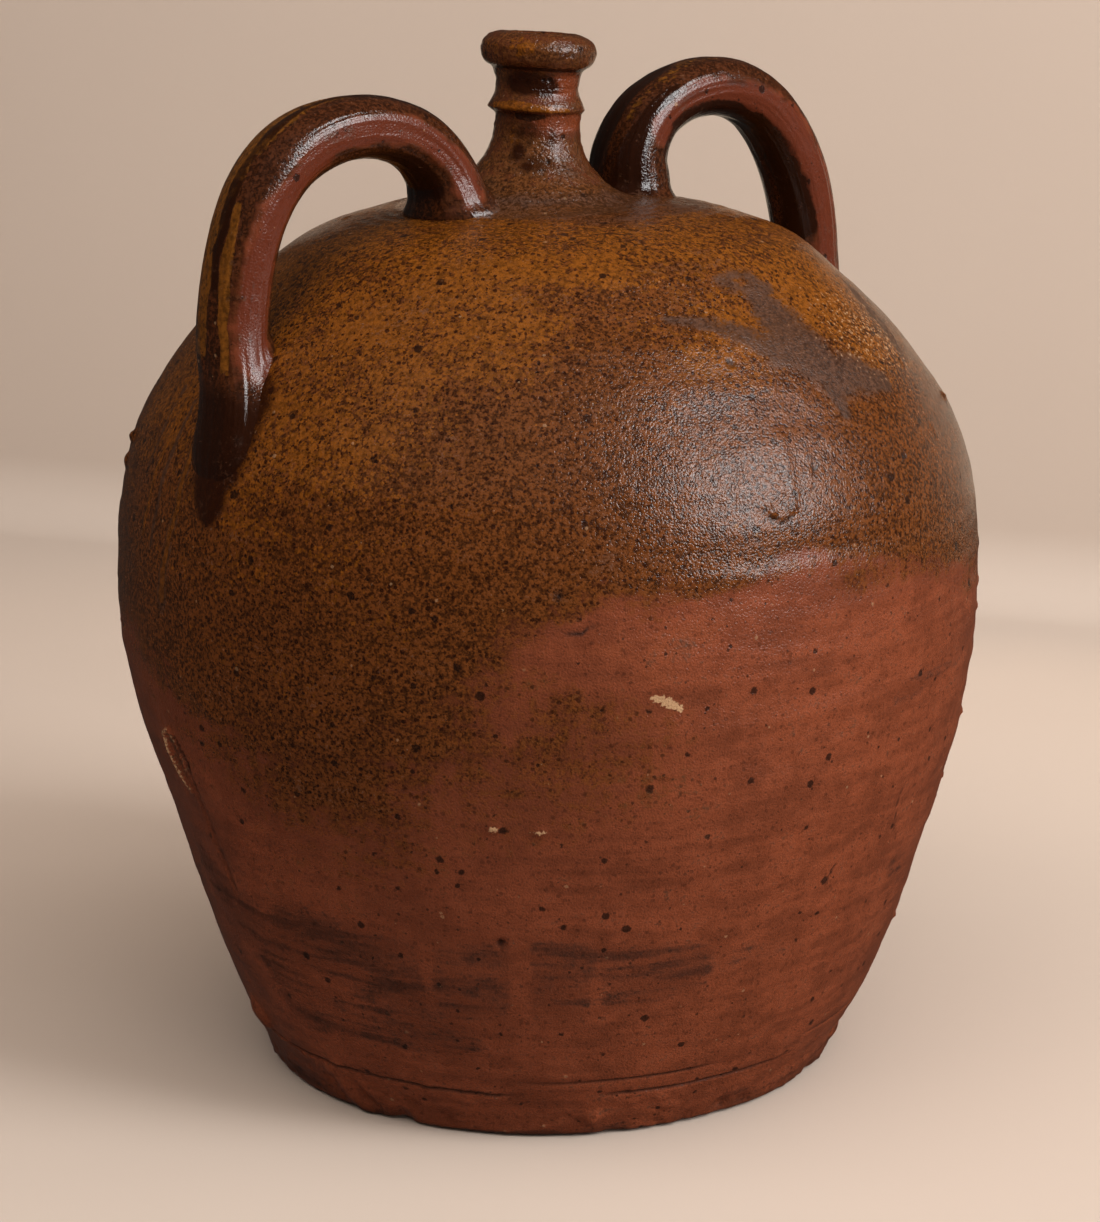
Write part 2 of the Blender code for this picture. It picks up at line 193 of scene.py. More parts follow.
class Outline:
    """A profile of a turned form that is read by its run, the distance along it."""

    def __init__(self, knots: Sequence[Pair], samples: int = 24) -> None:
        """Draw the profile.

        Args:
            knots: Pairs of radius and height, in order along the profile.
            samples: Points of the drawn curve in each span between knots.
        """
        curve = smooth_curve(knots, samples)
        steps = np.hypot(*np.diff(curve, axis=0).T)
        self.runs = np.concatenate(([0.0], np.cumsum(steps)))
        self.radii, self.heights = curve.T
        self.rising = int(np.argmax(self.heights)) + 1

    @property
    def length(self) -> float:
        """Run of the profile's end."""
        return float(self.runs[-1])

    def level(self, height: float) -> float:
        """Run at which the rising part of the profile reaches a height."""
        return float(np.interp(height, self.heights[:self.rising], self.runs[:self.rising]))

    def radius_at(self, run: Field | float) -> Field:
        """Radius at each run."""
        return np.interp(run, self.runs, self.radii)

    def height_at(self, run: Field | float) -> Field:
        """Height at each run."""
        return np.interp(run, self.runs, self.heights)

    def outward_at(self, run: Field) -> Field:
        """Read which way is outward.

        Args:
            run: Runs to read.

        Returns:
            Unit direction at each run, as radius and height.
        """
        reach = 0.0012
        step_radius = self.radius_at(run + reach) - self.radius_at(run - reach)
        step_height = self.height_at(run + reach) - self.height_at(run - reach)
        outward = np.stack((step_height, -step_radius), axis=-1)
        return outward / np.linalg.norm(outward, axis=-1, keepdims=True)


@dataclass(frozen=True)
class Rind:
    """A grid laid over a turned surface, by rows of equal run and columns of equal azimuth."""

    outline: Outline
    run: Field
    azimuth: Field

    @property
    def blank(self) -> Field:
        """Zero at every vertex."""
        return np.zeros((len(self.run), len(self.azimuth)))

    @property
    def radius(self) -> Field:
        """Radius of each row, as a column."""
        return self.outline.radius_at(self.run)[:, None]

    @property
    def height(self) -> Field:
        """Height of each row, as a column."""
        return self.outline.height_at(self.run)[:, None]

    def offsets(self, azimuth: float, height: float) -> tuple[Field, Field]:
        """Measure every vertex of the grid from a point, along the surface.

        Args:
            azimuth: The point's azimuth in degrees.
            height: The point's height.

        Returns:
            Distance across, along the row, and distance up, along the profile, as a column.
        """
        across = wrapped(self.azimuth[None, :] - radians(azimuth)) * self.radius
        return across, self.run[:, None] - self.outline.level(height)

    def spread(self, relief: Field) -> Field:
        """Places of the grid's vertices, moved outward by the relief.

        Args:
            relief: How far each vertex is raised.

        Returns:
            The places, with x, y and z in the last axis.
        """
        outward = self.outline.outward_at(self.run)[:, None, :]
        radius = self.radius + outward[..., 0] * relief
        height = self.height + outward[..., 1] * relief
        x, y = radius * np.cos(self.azimuth), radius * np.sin(self.azimuth)
        return np.stack((x, y, height), axis=-1)


@dataclass(frozen=True)
class Patch:
    """A soft oval on a turned surface.

    Attributes:
        zone: What covers it, or None where it only changes the relief.
        azimuth: Azimuth of its middle, in degrees.
        height: Height of its middle.
        half_width: Half its size across.
        half_height: Half its size up the profile.
        strength: Cover in its middle.
        relief: How far its middle is raised.
        tilt: Angle by which its width leans up, in degrees.
        edge: Share of its size over which it fades.
    """

    zone: Zone | None
    azimuth: float
    height: float
    half_width: float
    half_height: float
    strength: float = 1.0
    relief: float = 0.0
    tilt: float = 0.0
    edge: float = 0.6

    def cover(self, rind: Rind) -> Field:
        """Lay the oval on a grid.

        Args:
            rind: Grid over the surface.

        Returns:
            Cover of every vertex, from 0 to 1.
        """
        across, up = rind.offsets(self.azimuth, self.height)
        lean = radians(self.tilt)
        along = (across * cos(lean) + up * sin(lean)) / self.half_width
        beside = (up * cos(lean) - across * sin(lean)) / self.half_height
        return smoothstep(np.hypot(along, beside), 1 + self.edge, 1 - self.edge)


@dataclass(frozen=True)
class Stroke:
    """A soft band drawn through knots on a turned surface.

    Attributes:
        zone: What covers it, or None where it only changes the relief.
        knots: Azimuth in degrees, height and half width of the band, in order.
        strength: Cover along its middle.
        relief: How far its middle is raised.
        edge: Share of its half width over which it fades.
    """

    zone: Zone | None
    knots: tuple[Triple, ...]
    strength: float = 1.0
    relief: float = 0.0
    edge: float = 0.45

    def cover(self, rind: Rind) -> Field:
        """Lay the band on a grid.

        Args:
            rind: Grid over the surface.

        Returns:
            Cover of every vertex, from 0 to 1.
        """
        whole = rind.blank
        for (start, low, first), (end, high, last) in zip(self.knots, self.knots[1:]):
            across, up = rind.offsets(start, low)
            rise = rind.outline.level(high) - rind.outline.level(low)
            swing = wrapped(radians(end - start)) * rind.outline.radius_at(rind.outline.level(high))
            share = np.clip((across * swing + up * rise) / (rise**2 + swing**2), 0.0, 1.0)
            distance = np.hypot(across - share * swing, up - share * rise)
            width = first + (last - first) * share
            whole = np.maximum(whole, smoothstep(distance / width, 1 + self.edge, 1 - self.edge))
        return whole


@dataclass(frozen=True)
class Scatter:
    """Small bumps or pits strewn over a turned surface.

    Attributes:
        count: How many lie on the whole surface.
        least: Radius of the smallest.
        most: Radius of the largest.
        relief: How far the largest is raised.
        seed: Number that fixes their places.
        low: Share of the profile at which they start.
        high: Share of the profile at which they end.
    """

    count: int
    least: float
    most: float
    relief: float
    seed: int
    low: float = 0.0
    high: float = 1.0

    def raised(self, rind: Rind) -> Field:
        """Strew them over a grid.

        Args:
            rind: Grid over the surface.

        Returns:
            How far each vertex is raised.
        """
        reach = 2.5
        chance = np.random.default_rng(self.seed)
        total = rind.blank
        for turn, climb, size in chance.random((self.count, 3)):
            centre = rind.outline.length * (self.low + climb * (self.high - self.low))
            radius = self.least + (self.most - self.least) * size**3
            rows = np.flatnonzero(np.abs(rind.run - centre) < reach * radius)
            if not rows.size:
                continue
            arc = wrapped(rind.azimuth - 2 * pi * turn) * rind.outline.radius_at(centre)
            columns = np.flatnonzero(np.abs(arc) < reach * radius)
            distance = np.hypot(arc[columns][None, :], (rind.run[rows] - centre)[:, None])
            bump = self.relief * radius / self.most * np.exp(-((distance / radius) ** 2))
            total[np.ix_(rows, columns)] += bump
        return total


@dataclass(frozen=True)
class Rings:
    """Throwing rings on a nearly level part of a turned surface.

    Attributes:
        height: How far they are raised.
        gap: Distance between two of them.
        band: Radii between which they come up.
        wander: Ripple that leads them astray.
    """

    height: float
    gap: float
    band: Pair
    wander: Ripple

    def raised(self, rind: Rind, places: Field) -> Field:
        """Relief at every vertex of a grid whose places are given."""
        radius = rind.radius + self.wander.raised(places)
        return self.height * smoothstep(rind.radius, *self.band) * np.sin(2 * pi * radius / self.gap)


@dataclass(frozen=True)
class Texture:
    """What the potter's hands and the fire leave all over a turned surface.

    Attributes:
        ripples: Layers of unevenness.
        rings: Throwing rings.
        scatters: Bumps and pits.
    """

    ripples: tuple[Ripple, ...]
    rings: Rings
    scatters: tuple[Scatter, ...]

    def raised(self, rind: Rind) -> Field:
        """Lay every layer on a grid.

        Args:
            rind: Grid over the surface.

        Returns:
            How far each vertex is raised.
        """
        places = rind.spread(rind.blank)
        relief = rippled(places, self.ripples) + self.rings.raised(rind, places)
        return relief + sum(scatter.raised(rind) for scatter in self.scatters)


Mark = Patch | Stroke


def daubs(zone: Zone | None, edge: float, *rows: Sequence[float]) -> tuple[Patch, ...]:
    """Make several patches of one kind.

    Args:
        zone: What covers them, or None where they only change the relief.
        edge: Share of their size over which they fade.
        *rows: Azimuth, height, half width, half height, cover, relief and tilt of each, where the
            last three may be left out.

    Returns:
        The patches.
    """
    return tuple(Patch(zone, *row, edge=edge) for row in rows)


def bands(zone: Zone | None, edge: float, *rows: Sequence[Any]) -> tuple[Stroke, ...]:
    """Make several strokes of one kind.

    Args:
        zone: What covers them, or None where they only change the relief.
        edge: Share of their half width over which they fade.
        *rows: Cover and relief of each, followed by its knots.

    Returns:
        The strokes.
    """
    return tuple(Stroke(zone, knots, cover, relief, edge) for cover, relief, *knots in rows)


def make_skin(name: str, points: Field, closed: bool) -> bpy.types.Object:
    """Make a mesh from a grid whose columns go all the way round.

    Args:
        name: Name of the new object.
        points: Places by row and column, with x, y and z in the last axis.
        closed: Whether the last row joins the first; otherwise both ends are capped.

    Returns:
        The object, smooth but for its sharp edges, linked to the scene.
    """
    sharp = radians(50)
    rows, columns = points.shape[:2]
    index = np.arange(rows * columns).reshape(rows, columns)
    following = np.roll(index, -1, axis=0) if closed else index[1:]
    near = index if closed else index[:-1]
    corners = (near, np.roll(near, -1, axis=1), np.roll(following, -1, axis=1), following)
    faces = np.stack(corners, axis=-1).reshape(-1, 4).tolist()
    if not closed:
        faces += [index[0, ::-1].tolist(), index[-1].tolist()]
    mesh = bpy.data.meshes.new(name)
    mesh.from_pydata(points.reshape(-1, 3).tolist(), [], faces)
    mesh.shade_smooth()
    mesh.set_sharp_from_angle(angle=sharp)
    item = bpy.data.objects.new(name, mesh)
    bpy.context.scene.collection.objects.link(item)
    return item


def lay_cover(item: bpy.types.Object, covers: dict[Zone, Field]) -> None:
    """Store the cover of each zone on a mesh.

    Args:
        item: The object to write to.
        covers: Cover of each vertex, by zone.
    """
    for zone in Zone:
        layer = item.data.attributes.new(zone.value, "FLOAT", "POINT")
        values = covers.get(zone)
        if values is not None:
            layer.data.foreach_set("value", np.clip(values, 0, 1).astype(np.float32).ravel())


def lay_marks(marks: Iterable[Mark], rind: Rind, covers: dict[Zone, Field]) -> Field:
    """Add marks to the covers of a grid.

    Args:
        marks: The patches and strokes.
        rind: The grid that they lie on.
        covers: Cover by zone, changed in place.

    Returns:
        The relief that the marks make.
    """
    relief = rind.blank
    for mark in marks:
        cover = mark.cover(rind)
        relief += mark.relief * cover
        if mark.zone is not None:
            before = covers.get(mark.zone, rind.blank)
            if mark.strength < 0:
                covers[mark.zone] = before * (1 + mark.strength * cover)
            else:
                covers[mark.zone] = np.maximum(before, mark.strength * cover)
    return relief


@dataclass(frozen=True)
class WallForm:
    """The thrown wall from foot to crown.

    Attributes:
        foot_radius: Radius where the wall stands.
        belly_radius: Greatest radius.
        belly_height: Height of the greatest radius.
        crown_height: Height of the closed shoulder.
        seam_height: Height of the lapped seam.
        thickness: Thickness of the wall.
        throat_radius: Radius of the hole under the neck.
        toe_radius: Radius at which the wall meets the floor disc.
        toe_bevel: How much narrower the disc's seat is at its top.
        floor_height: Height of the floor disc's top.
        floor_meeting: Height outside from which the inside of the wall runs down to the disc.
        belly_inset: How far the skin stays inside the belly, so that its swell stays in bounds.
        belly_band: Height over which that inset fades.
        columns: Vertices round the wall.
        row_gap: Distance between two rows.
        foot_row_gap: Distance between two rows above the foot, where lines are cut.
        inner_row_gap: Distance between two rows inside.
        foot_band: Run up to which the foot's rows go.
        worn_edge: Height of the worn edge of the foot.
        shoulder_rows: Rows of the shoulder that the neck is fitted to.
        flank_shares: Share of the climb and of the widening, from foot to belly.
        dome_shares: Share of the climb and of the belly's radius, from belly to crown.
    """

    foot_radius: float = 0.1355
    belly_radius: float = 0.199
    belly_height: float = 0.233
    crown_height: float = 0.3965
    seam_height: float = 0.197
    thickness: float = 0.0105
    throat_radius: float = 0.026
    toe_radius: float = 0.1285
    toe_bevel: float = 0.005
    floor_height: float = 0.012
    floor_meeting: float = 0.024
    belly_inset: float = 0.0006
    belly_band: float = 0.070
    columns: int = 800
    row_gap: float = 0.0015
    foot_row_gap: float = 0.0007
    inner_row_gap: float = 0.010
    foot_band: float = 0.046
    worn_edge: float = 0.0022
    shoulder_rows: int = 60

    flank_shares: tuple[Pair, ...] = (
        (0, 0), (0.06, 0.093), (0.16, 0.286), (0.3, 0.495), (0.44, 0.658), (0.585, 0.802),
        (0.725, 0.918), (0.865, 0.983), (1, 1))
    dome_shares: tuple[Pair, ...] = (
        (0.213, 0.985), (0.415, 0.931), (0.64, 0.803), (0.775, 0.685), (0.89, 0.567),
        (0.95, 0.449), (0.981, 0.331), (0.996, 0.19), (1, 0))

    def outline(self) -> Outline:
        """Draw the outside.

        Returns:
            Profile of the wall from the foot to the axis.
        """
        gained = self.belly_radius - self.foot_radius
        rise = self.crown_height - self.belly_height
        flank = [(self.foot_radius + share * gained, climb * self.belly_height)
                 for climb, share in self.flank_shares]
        dome = [(share * self.belly_radius, self.belly_height + climb * rise)
                for climb, share in self.dome_shares]
        return Outline(flank + dome)


@dataclass(frozen=True)
class Dipping:
    """Where the broad glazes of the wall end and how softly.

    Attributes:
        ochre_edge: Height of the ash glaze's lower edge round the jar.
        ochre_fade: Heights over that edge between which it thickens.
        ochre_cover: Its cover where it is whole.
        speckle: Cover of its specks further down, round the jar.
        speckle_foot: Height of their lower edge round the jar.
        speckle_fade: Heights over that edge between which they thicken.
        collar_edge: Radius of the barer ring round the neck.
        collar_fade: Distances past that radius between which the ring ends.
        collar_share: Share of the ash glaze that is left on it.
        collar_smear: Cover of smeared clay on it.
        brown_edge: Height of the brown glaze's lower edge round the jar.
        brown_spread: Height over which it thickens, round the jar.
        blush_drop: How far the brightest slip lies under that edge.
        blush_fade: Distances from there between which it fades.
        blush_cover: Its cover.
        blush_azimuth: Azimuth of the side that has it, in degrees.
        blush_sides: Angles from there between which it fades, in degrees.
        soot_fade: Heights between which the soot of the foot fades.
        soot_cover: Its cover.
        stir: Ripples that stir the edges.
        stirred: How much they stir the speckle, collar, brown and soot, against the ash glaze.
    """

    ochre_edge: tuple[Pair, ...] = (
        (-180, 0.32), (-165, 0.3), (-150, 0.29), (-138, 0.283), (-126, 0.28), (-116, 0.288),
        (-109, 0.305), (-103, 0.33), (-96, 0.348), (-86, 0.358), (-76, 0.354), (-64, 0.35),
        (-52, 0.342), (-40, 0.326), (-28, 0.322), (-12, 0.332), (20, 0.346), (60, 0.306),
        (95, 0.33), (140, 0.296))
    ochre_fade: Pair = (-0.050, 0.036)
    ochre_cover: float = 0.80
    speckle: tuple[Pair, ...] = (
        (-180, 0.18), (-160, 0.26), (-146, 0.34), (-128, 0.36), (-112, 0.33), (-102, 0.2),
        (-92, 0.1), (-70, 0.06), (-52, 0.18), (-34, 0.28), (-14, 0.28), (10, 0.18), (60, 0.34),
        (120, 0.26))
    speckle_foot: tuple[Pair, ...] = (
        (-180, 0.255), (-150, 0.235), (-132, 0.205), (-112, 0.19), (-104, 0.22), (-94, 0.285),
        (-70, 0.31), (-50, 0.285), (-30, 0.262), (-10, 0.262), (30, 0.28), (70, 0.22), (120, 0.25))
    speckle_fade: Pair = (-0.035, 0.085)
    collar_edge: tuple[Pair, ...] = (
        (-180, 0.058), (-130, 0.058), (-100, 0.064), (-70, 0.074), (-40, 0.08), (0, 0.08),
        (40, 0.07), (120, 0.06))
    collar_fade: Pair = (-0.010, 0.010)
    collar_share: float = 0.35
    collar_smear: float = 0.45
    brown_edge: tuple[Pair, ...] = (
        (-180, 0.215), (-160, 0.214), (-145, 0.192), (-134, 0.168), (-120, 0.148), (-108, 0.156),
        (-101, 0.182), (-94, 0.228), (-86, 0.252), (-76, 0.256), (-62, 0.26), (-45, 0.258),
        (-30, 0.248), (-15, 0.24), (10, 0.238), (35, 0.226), (80, 0.214), (120, 0.236), (150, 0.214))
    brown_spread: tuple[Pair, ...] = (
        (-180, 0.034), (-145, 0.042), (-130, 0.07), (-112, 0.086), (-101, 0.076), (-94, 0.056),
        (-84, 0.032), (-50, 0.022), (-34, 0.024), (-10, 0.03), (60, 0.03), (120, 0.02))
    blush_drop: float = 0.014
    blush_fade: Pair = (0.026, 0.004)
    blush_cover: float = 0.40
    blush_azimuth: float = -76
    blush_sides: Pair = (26, 8)
    soot_fade: Pair = (0.013, 0.004)
    soot_cover: float = 0.8
    stir: tuple[Ripple, ...] = (
        Ripple(0.009, 0.07, 11, (1, 1, 0.6)), Ripple(0.004, 0.022, 12, (1.8, 1.8, 0.6)))
    stirred: tuple[float, float, float, float] = (1.2, 0.4, 0.5, 0.35)

    def covers(self, rind: Rind) -> dict[Zone, Field]:
        """Lay the broad glazes on the wall.

        Args:
            rind: Grid over the outside.

        Returns:
            Cover by zone.
        """
        azimuth, height = rind.azimuth[None, :], rind.height
        stir = rippled(rind.spread(rind.blank), self.stir)
        speckle_stir, collar_stir, brown_stir, soot_stir = (share * stir for share in self.stirred)
        above_ochre = height + stir - ring_value(azimuth, self.ochre_edge)
        dense = self.ochre_cover * smoothstep(above_ochre, *self.ochre_fade)
        above_speckle = height + speckle_stir - ring_value(azimuth, self.speckle_foot)
        speckled = ring_value(azimuth, self.speckle) * smoothstep(above_speckle, *self.speckle_fade)
        past_collar = rind.radius + collar_stir - ring_value(azimuth, self.collar_edge)
        collar = smoothstep(past_collar, *self.collar_fade)
        left = self.collar_share + (1 - self.collar_share) * collar
        above_brown = height + brown_stir - ring_value(azimuth, self.brown_edge)
        brown = smoothstep(above_brown / ring_value(azimuth, self.brown_spread), -1, 1)
        bright = self.blush_cover * smoothstep(np.abs(above_brown + self.blush_drop), *self.blush_fade)
        aside = np.degrees(np.abs(wrapped(azimuth - radians(self.blush_azimuth))))
        return {Zone.OCHRE: np.maximum(dense, speckled) * left,
                Zone.BROWN: brown,
                Zone.BLUSH: bright * smoothstep(aside, *self.blush_sides),
                Zone.SOOT: self.soot_cover * smoothstep(height + soot_stir, *self.soot_fade),
                Zone.SMEAR: self.collar_smear * (1 - collar)}


WALL_MARKS: tuple[Mark, ...] = (
    *daubs(None, 0.9, (-172, 0.092, 0.07, 0.066, 0, -0.0066), (-150, 0.118, 0.03, 0.05, 0, -0.0012),
        (95, 0.15, 0.08, 0.06, 0, -0.0018), (-128, 0.372, 0.055, 0.03, 0, 0.0012),
        (-66, 0.262, 0.04, 0.0035, 0, 0.0004), (-50, 0.27, 0.05, 0.003, 0, -0.0004),
        (-8.6, 0.226, 0.0018, 0.0018, 0, 0.0011), (-8.9, 0.2145, 0.0014, 0.0014, 0, 0.001),
        (-9, 0.164, 0.0016, 0.0016, 0, 0.0012), (-9.2, 0.133, 0.0017, 0.0017, 0, 0.0015),
        (-9.6, 0.064, 0.0022, 0.0018, 0, 0.0016), (-171, 0.293, 0.003, 0.0024, 0, 0.0024),
        (-171.5, 0.282, 0.002, 0.003, 0, 0.0016), (-8.5, 0.31, 0.0018, 0.0018, 0, 0.0013)),
    *bands(None, 0.7,
        (0, 0.001, (-62.1, 0.289, 0.0011), (-61.7, 0.2857, 0.0012), (-60.2, 0.2842, 0.0013),
         (-58.4, 0.2876, 0.0011))),
    *bands(None, 0.8, (0, 0.0026, (-152, 0.0325, 0.006), (-149.5, 0.03, 0.004)),
        (0, 0.0014, (-131, 0.02, 0.004), (-129, 0.01, 0.005), (-126, 0.004, 0.005)),
        (0, 0.0012, (-124, 0.016, 0.003), (-120, 0.006, 0.004))),
    *bands(None, 0.9, (0, 0.0003, (-57.5, 0.315, 0.0024), (-58.2, 0.29, 0.0018))),
    *daubs(Zone.BROWN, 0.9, (-94, 0.206, 0.064, 0.054, 0.62)),
    *bands(Zone.SMEAR, 0.6,
        (0.85, 0, (-69, 0.359, 0.0026), (-60.5, 0.356, 0.0046), (-54.5, 0.35, 0.0072),
         (-50, 0.345, 0.01))),
    *bands(Zone.SMEAR, 0.7,
        (1, 0, (-47.5, 0.362, 0.0075), (-46.5, 0.352, 0.0125), (-45, 0.3415, 0.015),
         (-42.5, 0.334, 0.012))),
    *bands(Zone.SMEAR, 0.8,
        (1, 0, (-42, 0.336, 0.0105), (-36.5, 0.3305, 0.0082), (-31.5, 0.3262, 0.0045)),
        (1, 0, (-44.5, 0.329, 0.005), (-44.3, 0.319, 0.003))),
    *bands(Zone.SMEAR, 0.7,
        (0.75, 0, (-53, 0.37, 0.005), (-48.5, 0.3702, 0.0066), (-44, 0.3665, 0.004))),
    *daubs(Zone.SMEAR, 0.6, (-49.5, 0.37, 0.0035, 0.0022, -0.8, 0, -20)),
    *bands(Zone.SMEAR, 0.7,
        (0.8, 0, (-12.6, 0.36, 0.004), (-16.4, 0.3466, 0.005), (-19, 0.334, 0.003))),
    *daubs(Zone.SMEAR, 0.6, (-62, 0.377, 0.02, 0.004, 0.45), (118, 0.352, 0.03, 0.009, 0.8, 0, -12),
        (40, 0.3, 0.012, 0.022, 0.7)),
    *bands(Zone.SMEAR, 0.45,
        (0.7, 0, (-143.6, 0.303, 0.003), (-143, 0.277, 0.0032), (-144.5, 0.255, 0.0034),
         (-145.5, 0.235, 0.0042)),
        (0.8, 0, (-149.4, 0.318, 0.0016), (-148.6, 0.282, 0.0014), (-148.8, 0.258, 0.001)),
        (0.7, 0, (-155.5, 0.322, 0.002), (-155, 0.29, 0.0015))),
    *daubs(Zone.SMEAR, 0.6, (-147, 0.163, 0.0036, 0.014, 0.6, -0.0006, 20)),
    *bands(Zone.POOL_AND_SHADE, 0.35, (1, 0, (41, 0.33, 0.012), (39, 0.306, 0.009), (39.5, 0.29, 0.004))),
    *bands(Zone.POOL_AND_SHADE, 0.9,
        (0.85, 0.0012, (-137, 0.322, 0.018), (-136.7, 0.308, 0.018), (-136.3, 0.3, 0.0165),
         (-137.2, 0.2925, 0.013), (-136.2, 0.284, 0.01), (-136, 0.28, 0.007))),
    *bands(Zone.RUN, 0.45,
        (1, 0.0003, (-143.6, 0.303, 0.0014), (-143, 0.277, 0.0016), (-144.5, 0.255, 0.0016),
         (-145.5, 0.238, 0.0024)),
        (0.8, 0.0002, (-152, 0.318, 0.0018), (-151.4, 0.28, 0.0014), (-151.9, 0.262, 0.0018))),
    # Painted glints: two pale spots on raised nodules stand for their highlights.
    *daubs(Zone.PALE_AND_PAINTED_SHEEN, 0.6, (-96.5, 0.1601, 0.0022, 0.0016, 0.75, 0.001),
        (-90.8, 0.1592, 0.0026, 0.0014, 0.75, 0.001)),
    # Painted sheen: a faint pale patch on the right shoulder stands for a veil of reflected light.
    *daubs(Zone.PALE_AND_PAINTED_SHEEN, 0.9, (-25, 0.345, 0.042, 0.026, 0.32)),
    *bands(Zone.PALE_AND_PAINTED_SHEEN, 0.45,
        (1, 0, (-77.8, 0.2166, 0.0007), (-75.9, 0.2141, 0.0022), (-74.2, 0.2112, 0.001))),
    *bands(Zone.PALE_AND_PAINTED_SHEEN, 0.5,
        (0.6, 0.0016, (-147.6, 0.1775, 0.001), (-149.6, 0.1735, 0.0013), (-149.3, 0.165, 0.0016),
         (-147.6, 0.156, 0.0014), (-145.4, 0.149, 0.001)),
        (0.4, 0.0012, (-147.2, 0.177, 0.0008), (-145.6, 0.17, 0.0012), (-144.6, 0.16, 0.0012))),
    *bands(Zone.SOOT, 0.45,
        (0.8, -0.0006, (-144, 0.147, 0.002), (-142.1, 0.1249, 0.003), (-140.6, 0.106, 0.0018)),
        (0.8, 0, (-128, 0.094, 0.02), (-108, 0.084, 0.022), (-98, 0.086, 0.022)),
        (0.75, 0, (-91, 0.087, 0.024), (-80, 0.088, 0.02), (-70, 0.09, 0.014)),
        (0.4, 0, (-66, 0.09, 0.01), (-52, 0.086, 0.01)),
        (0.7, 0, (-128, 0.06, 0.016), (-104, 0.055, 0.012)),
        (0.7, 0, (-150, 0.108, 0.012), (-136, 0.088, 0.016), (-130, 0.058, 0.018)),
        (0.5, 0, (-30, 0.11, 0.008), (-16, 0.092, 0.012)),
        (0.5, 0, (-40, 0.198, 0.007), (-15, 0.214, 0.009)),
        (0.7, 0, (60, 0.094, 0.024), (110, 0.08, 0.03), (150, 0.096, 0.02)),
        (0.6, 0, (10, 0.07, 0.016), (40, 0.066, 0.012))),
    *daubs(Zone.SOOT, 0.5, (-93.6, 0.085, 0.004, 0.04, -0.85), (-107, 0.1, 0.003, 0.03, -0.5),
        (-83, 0.06, 0.0035, 0.03, -0.6)),
    *daubs(Zone.SOOT, 0.6, (-112.4, 0.077, 0.0045, 0.003, 1, -0.0006)),
    # Painted shade in pits, which are also sunk into the relief.
    *daubs(Zone.GROOVE_SHADE, 0.6, (-96.2, 0.1058, 0.0016, 0.0016, 1, -0.0022),
        (-88.7, 0.259, 0.002, 0.002, 0.7, -0.0006), (-53.8, 0.3012, 0.0013, 0.0013, 1, -0.0009),
        (-36.1, 0.2986, 0.0015, 0.0019, 1, -0.0009), (-60.8, 0.3425, 0.002, 0.0014, 0.7, -0.0008),
        (-54.8, 0.2942, 0.001, 0.001, 0.8, -0.0006)),
    # Painted shade along cut lines and the hook flaw, which are also cut into the relief.
    *bands(Zone.GROOVE_SHADE, 0.45,
        (1, -0.0012, (-146.2, 0.1745, 0.0008), (-144.3, 0.164, 0.0012), (-143.6, 0.149, 0.001)),
        (1, -0.0003, (-88.8, 0.2447, 0.0005), (-85.9, 0.244, 0.0006), (-84.6, 0.2474, 0.0004)),
        (0.8, -0.0003, (-34.7, 0.153, 0.0004), (-35.3, 0.1473, 0.0005), (-34.2, 0.131, 0.0004)),
        (1, -0.0004, (-47.8, 0.1254, 0.0005), (-48.8, 0.1178, 0.0006)),
        (0.85, -0.0007, (-62.5, 0.288, 0.0005), (-62.1, 0.2846, 0.0007), (-60.4, 0.2828, 0.0007),
         (-58.2, 0.285, 0.0004))),
)
WALL_TEXTURE = Texture(
    ripples=(Ripple(0.00055, 0.16, 21), Ripple(0.00012, 0.04, 22),
             Ripple(0.00011, 0.014, 23, (14, 14, 1)), Ripple(0.00004, 0.006, 24, (9, 9, 1)),
             Ripple(0.00003, 0.007, 25)),
    rings=Rings(0.00016, 0.0072, (0.110, 0.060), Ripple(0.0016, 0.06, 26)),
    scatters=(Scatter(420, 0.001, 0.0026, 0.0004, seed=3), Scatter(260, 0.001, 0.0022, -0.0005, seed=8),
              Scatter(150, 0.0015, 0.005, -0.0016, seed=5, high=0.03),
              Scatter(120, 0.0015, 0.0045, 0.0012, seed=6, high=0.06)))


@dataclass(frozen=True)
class Seam:
    """The smoothed lap of the two walls.

    Attributes:
        wave: How far the line strays up from its height, round the jar.
        height: How far its ridge is raised.
        width: Half the width of the ridge.
        step: How far the wall is set back under it.
        fade: Heights over the line between which the step fades.
    """

    wave: tuple[Pair, ...] = (
        (-180, 0.001), (-146, 0.013), (-131, -0.008), (-99, -0.003), (-84, 0.001), (-40, 0.006),
        (-17, -0.002), (40, 0.002), (110, -0.003))
    height: float = 0.00045
    width: float = 0.004
    step: float = 0.00025
    fade: Pair = (0.004, -0.010)

    def raised(self, rind: Rind, level: float) -> Field:
        """Relief at every vertex of a grid, with the line at a level."""
        over = rind.height - level - ring_value(rind.azimuth[None, :], self.wave)
        return self.height * np.exp(-((over / self.width) ** 2)) - self.step * smoothstep(over, *self.fade)


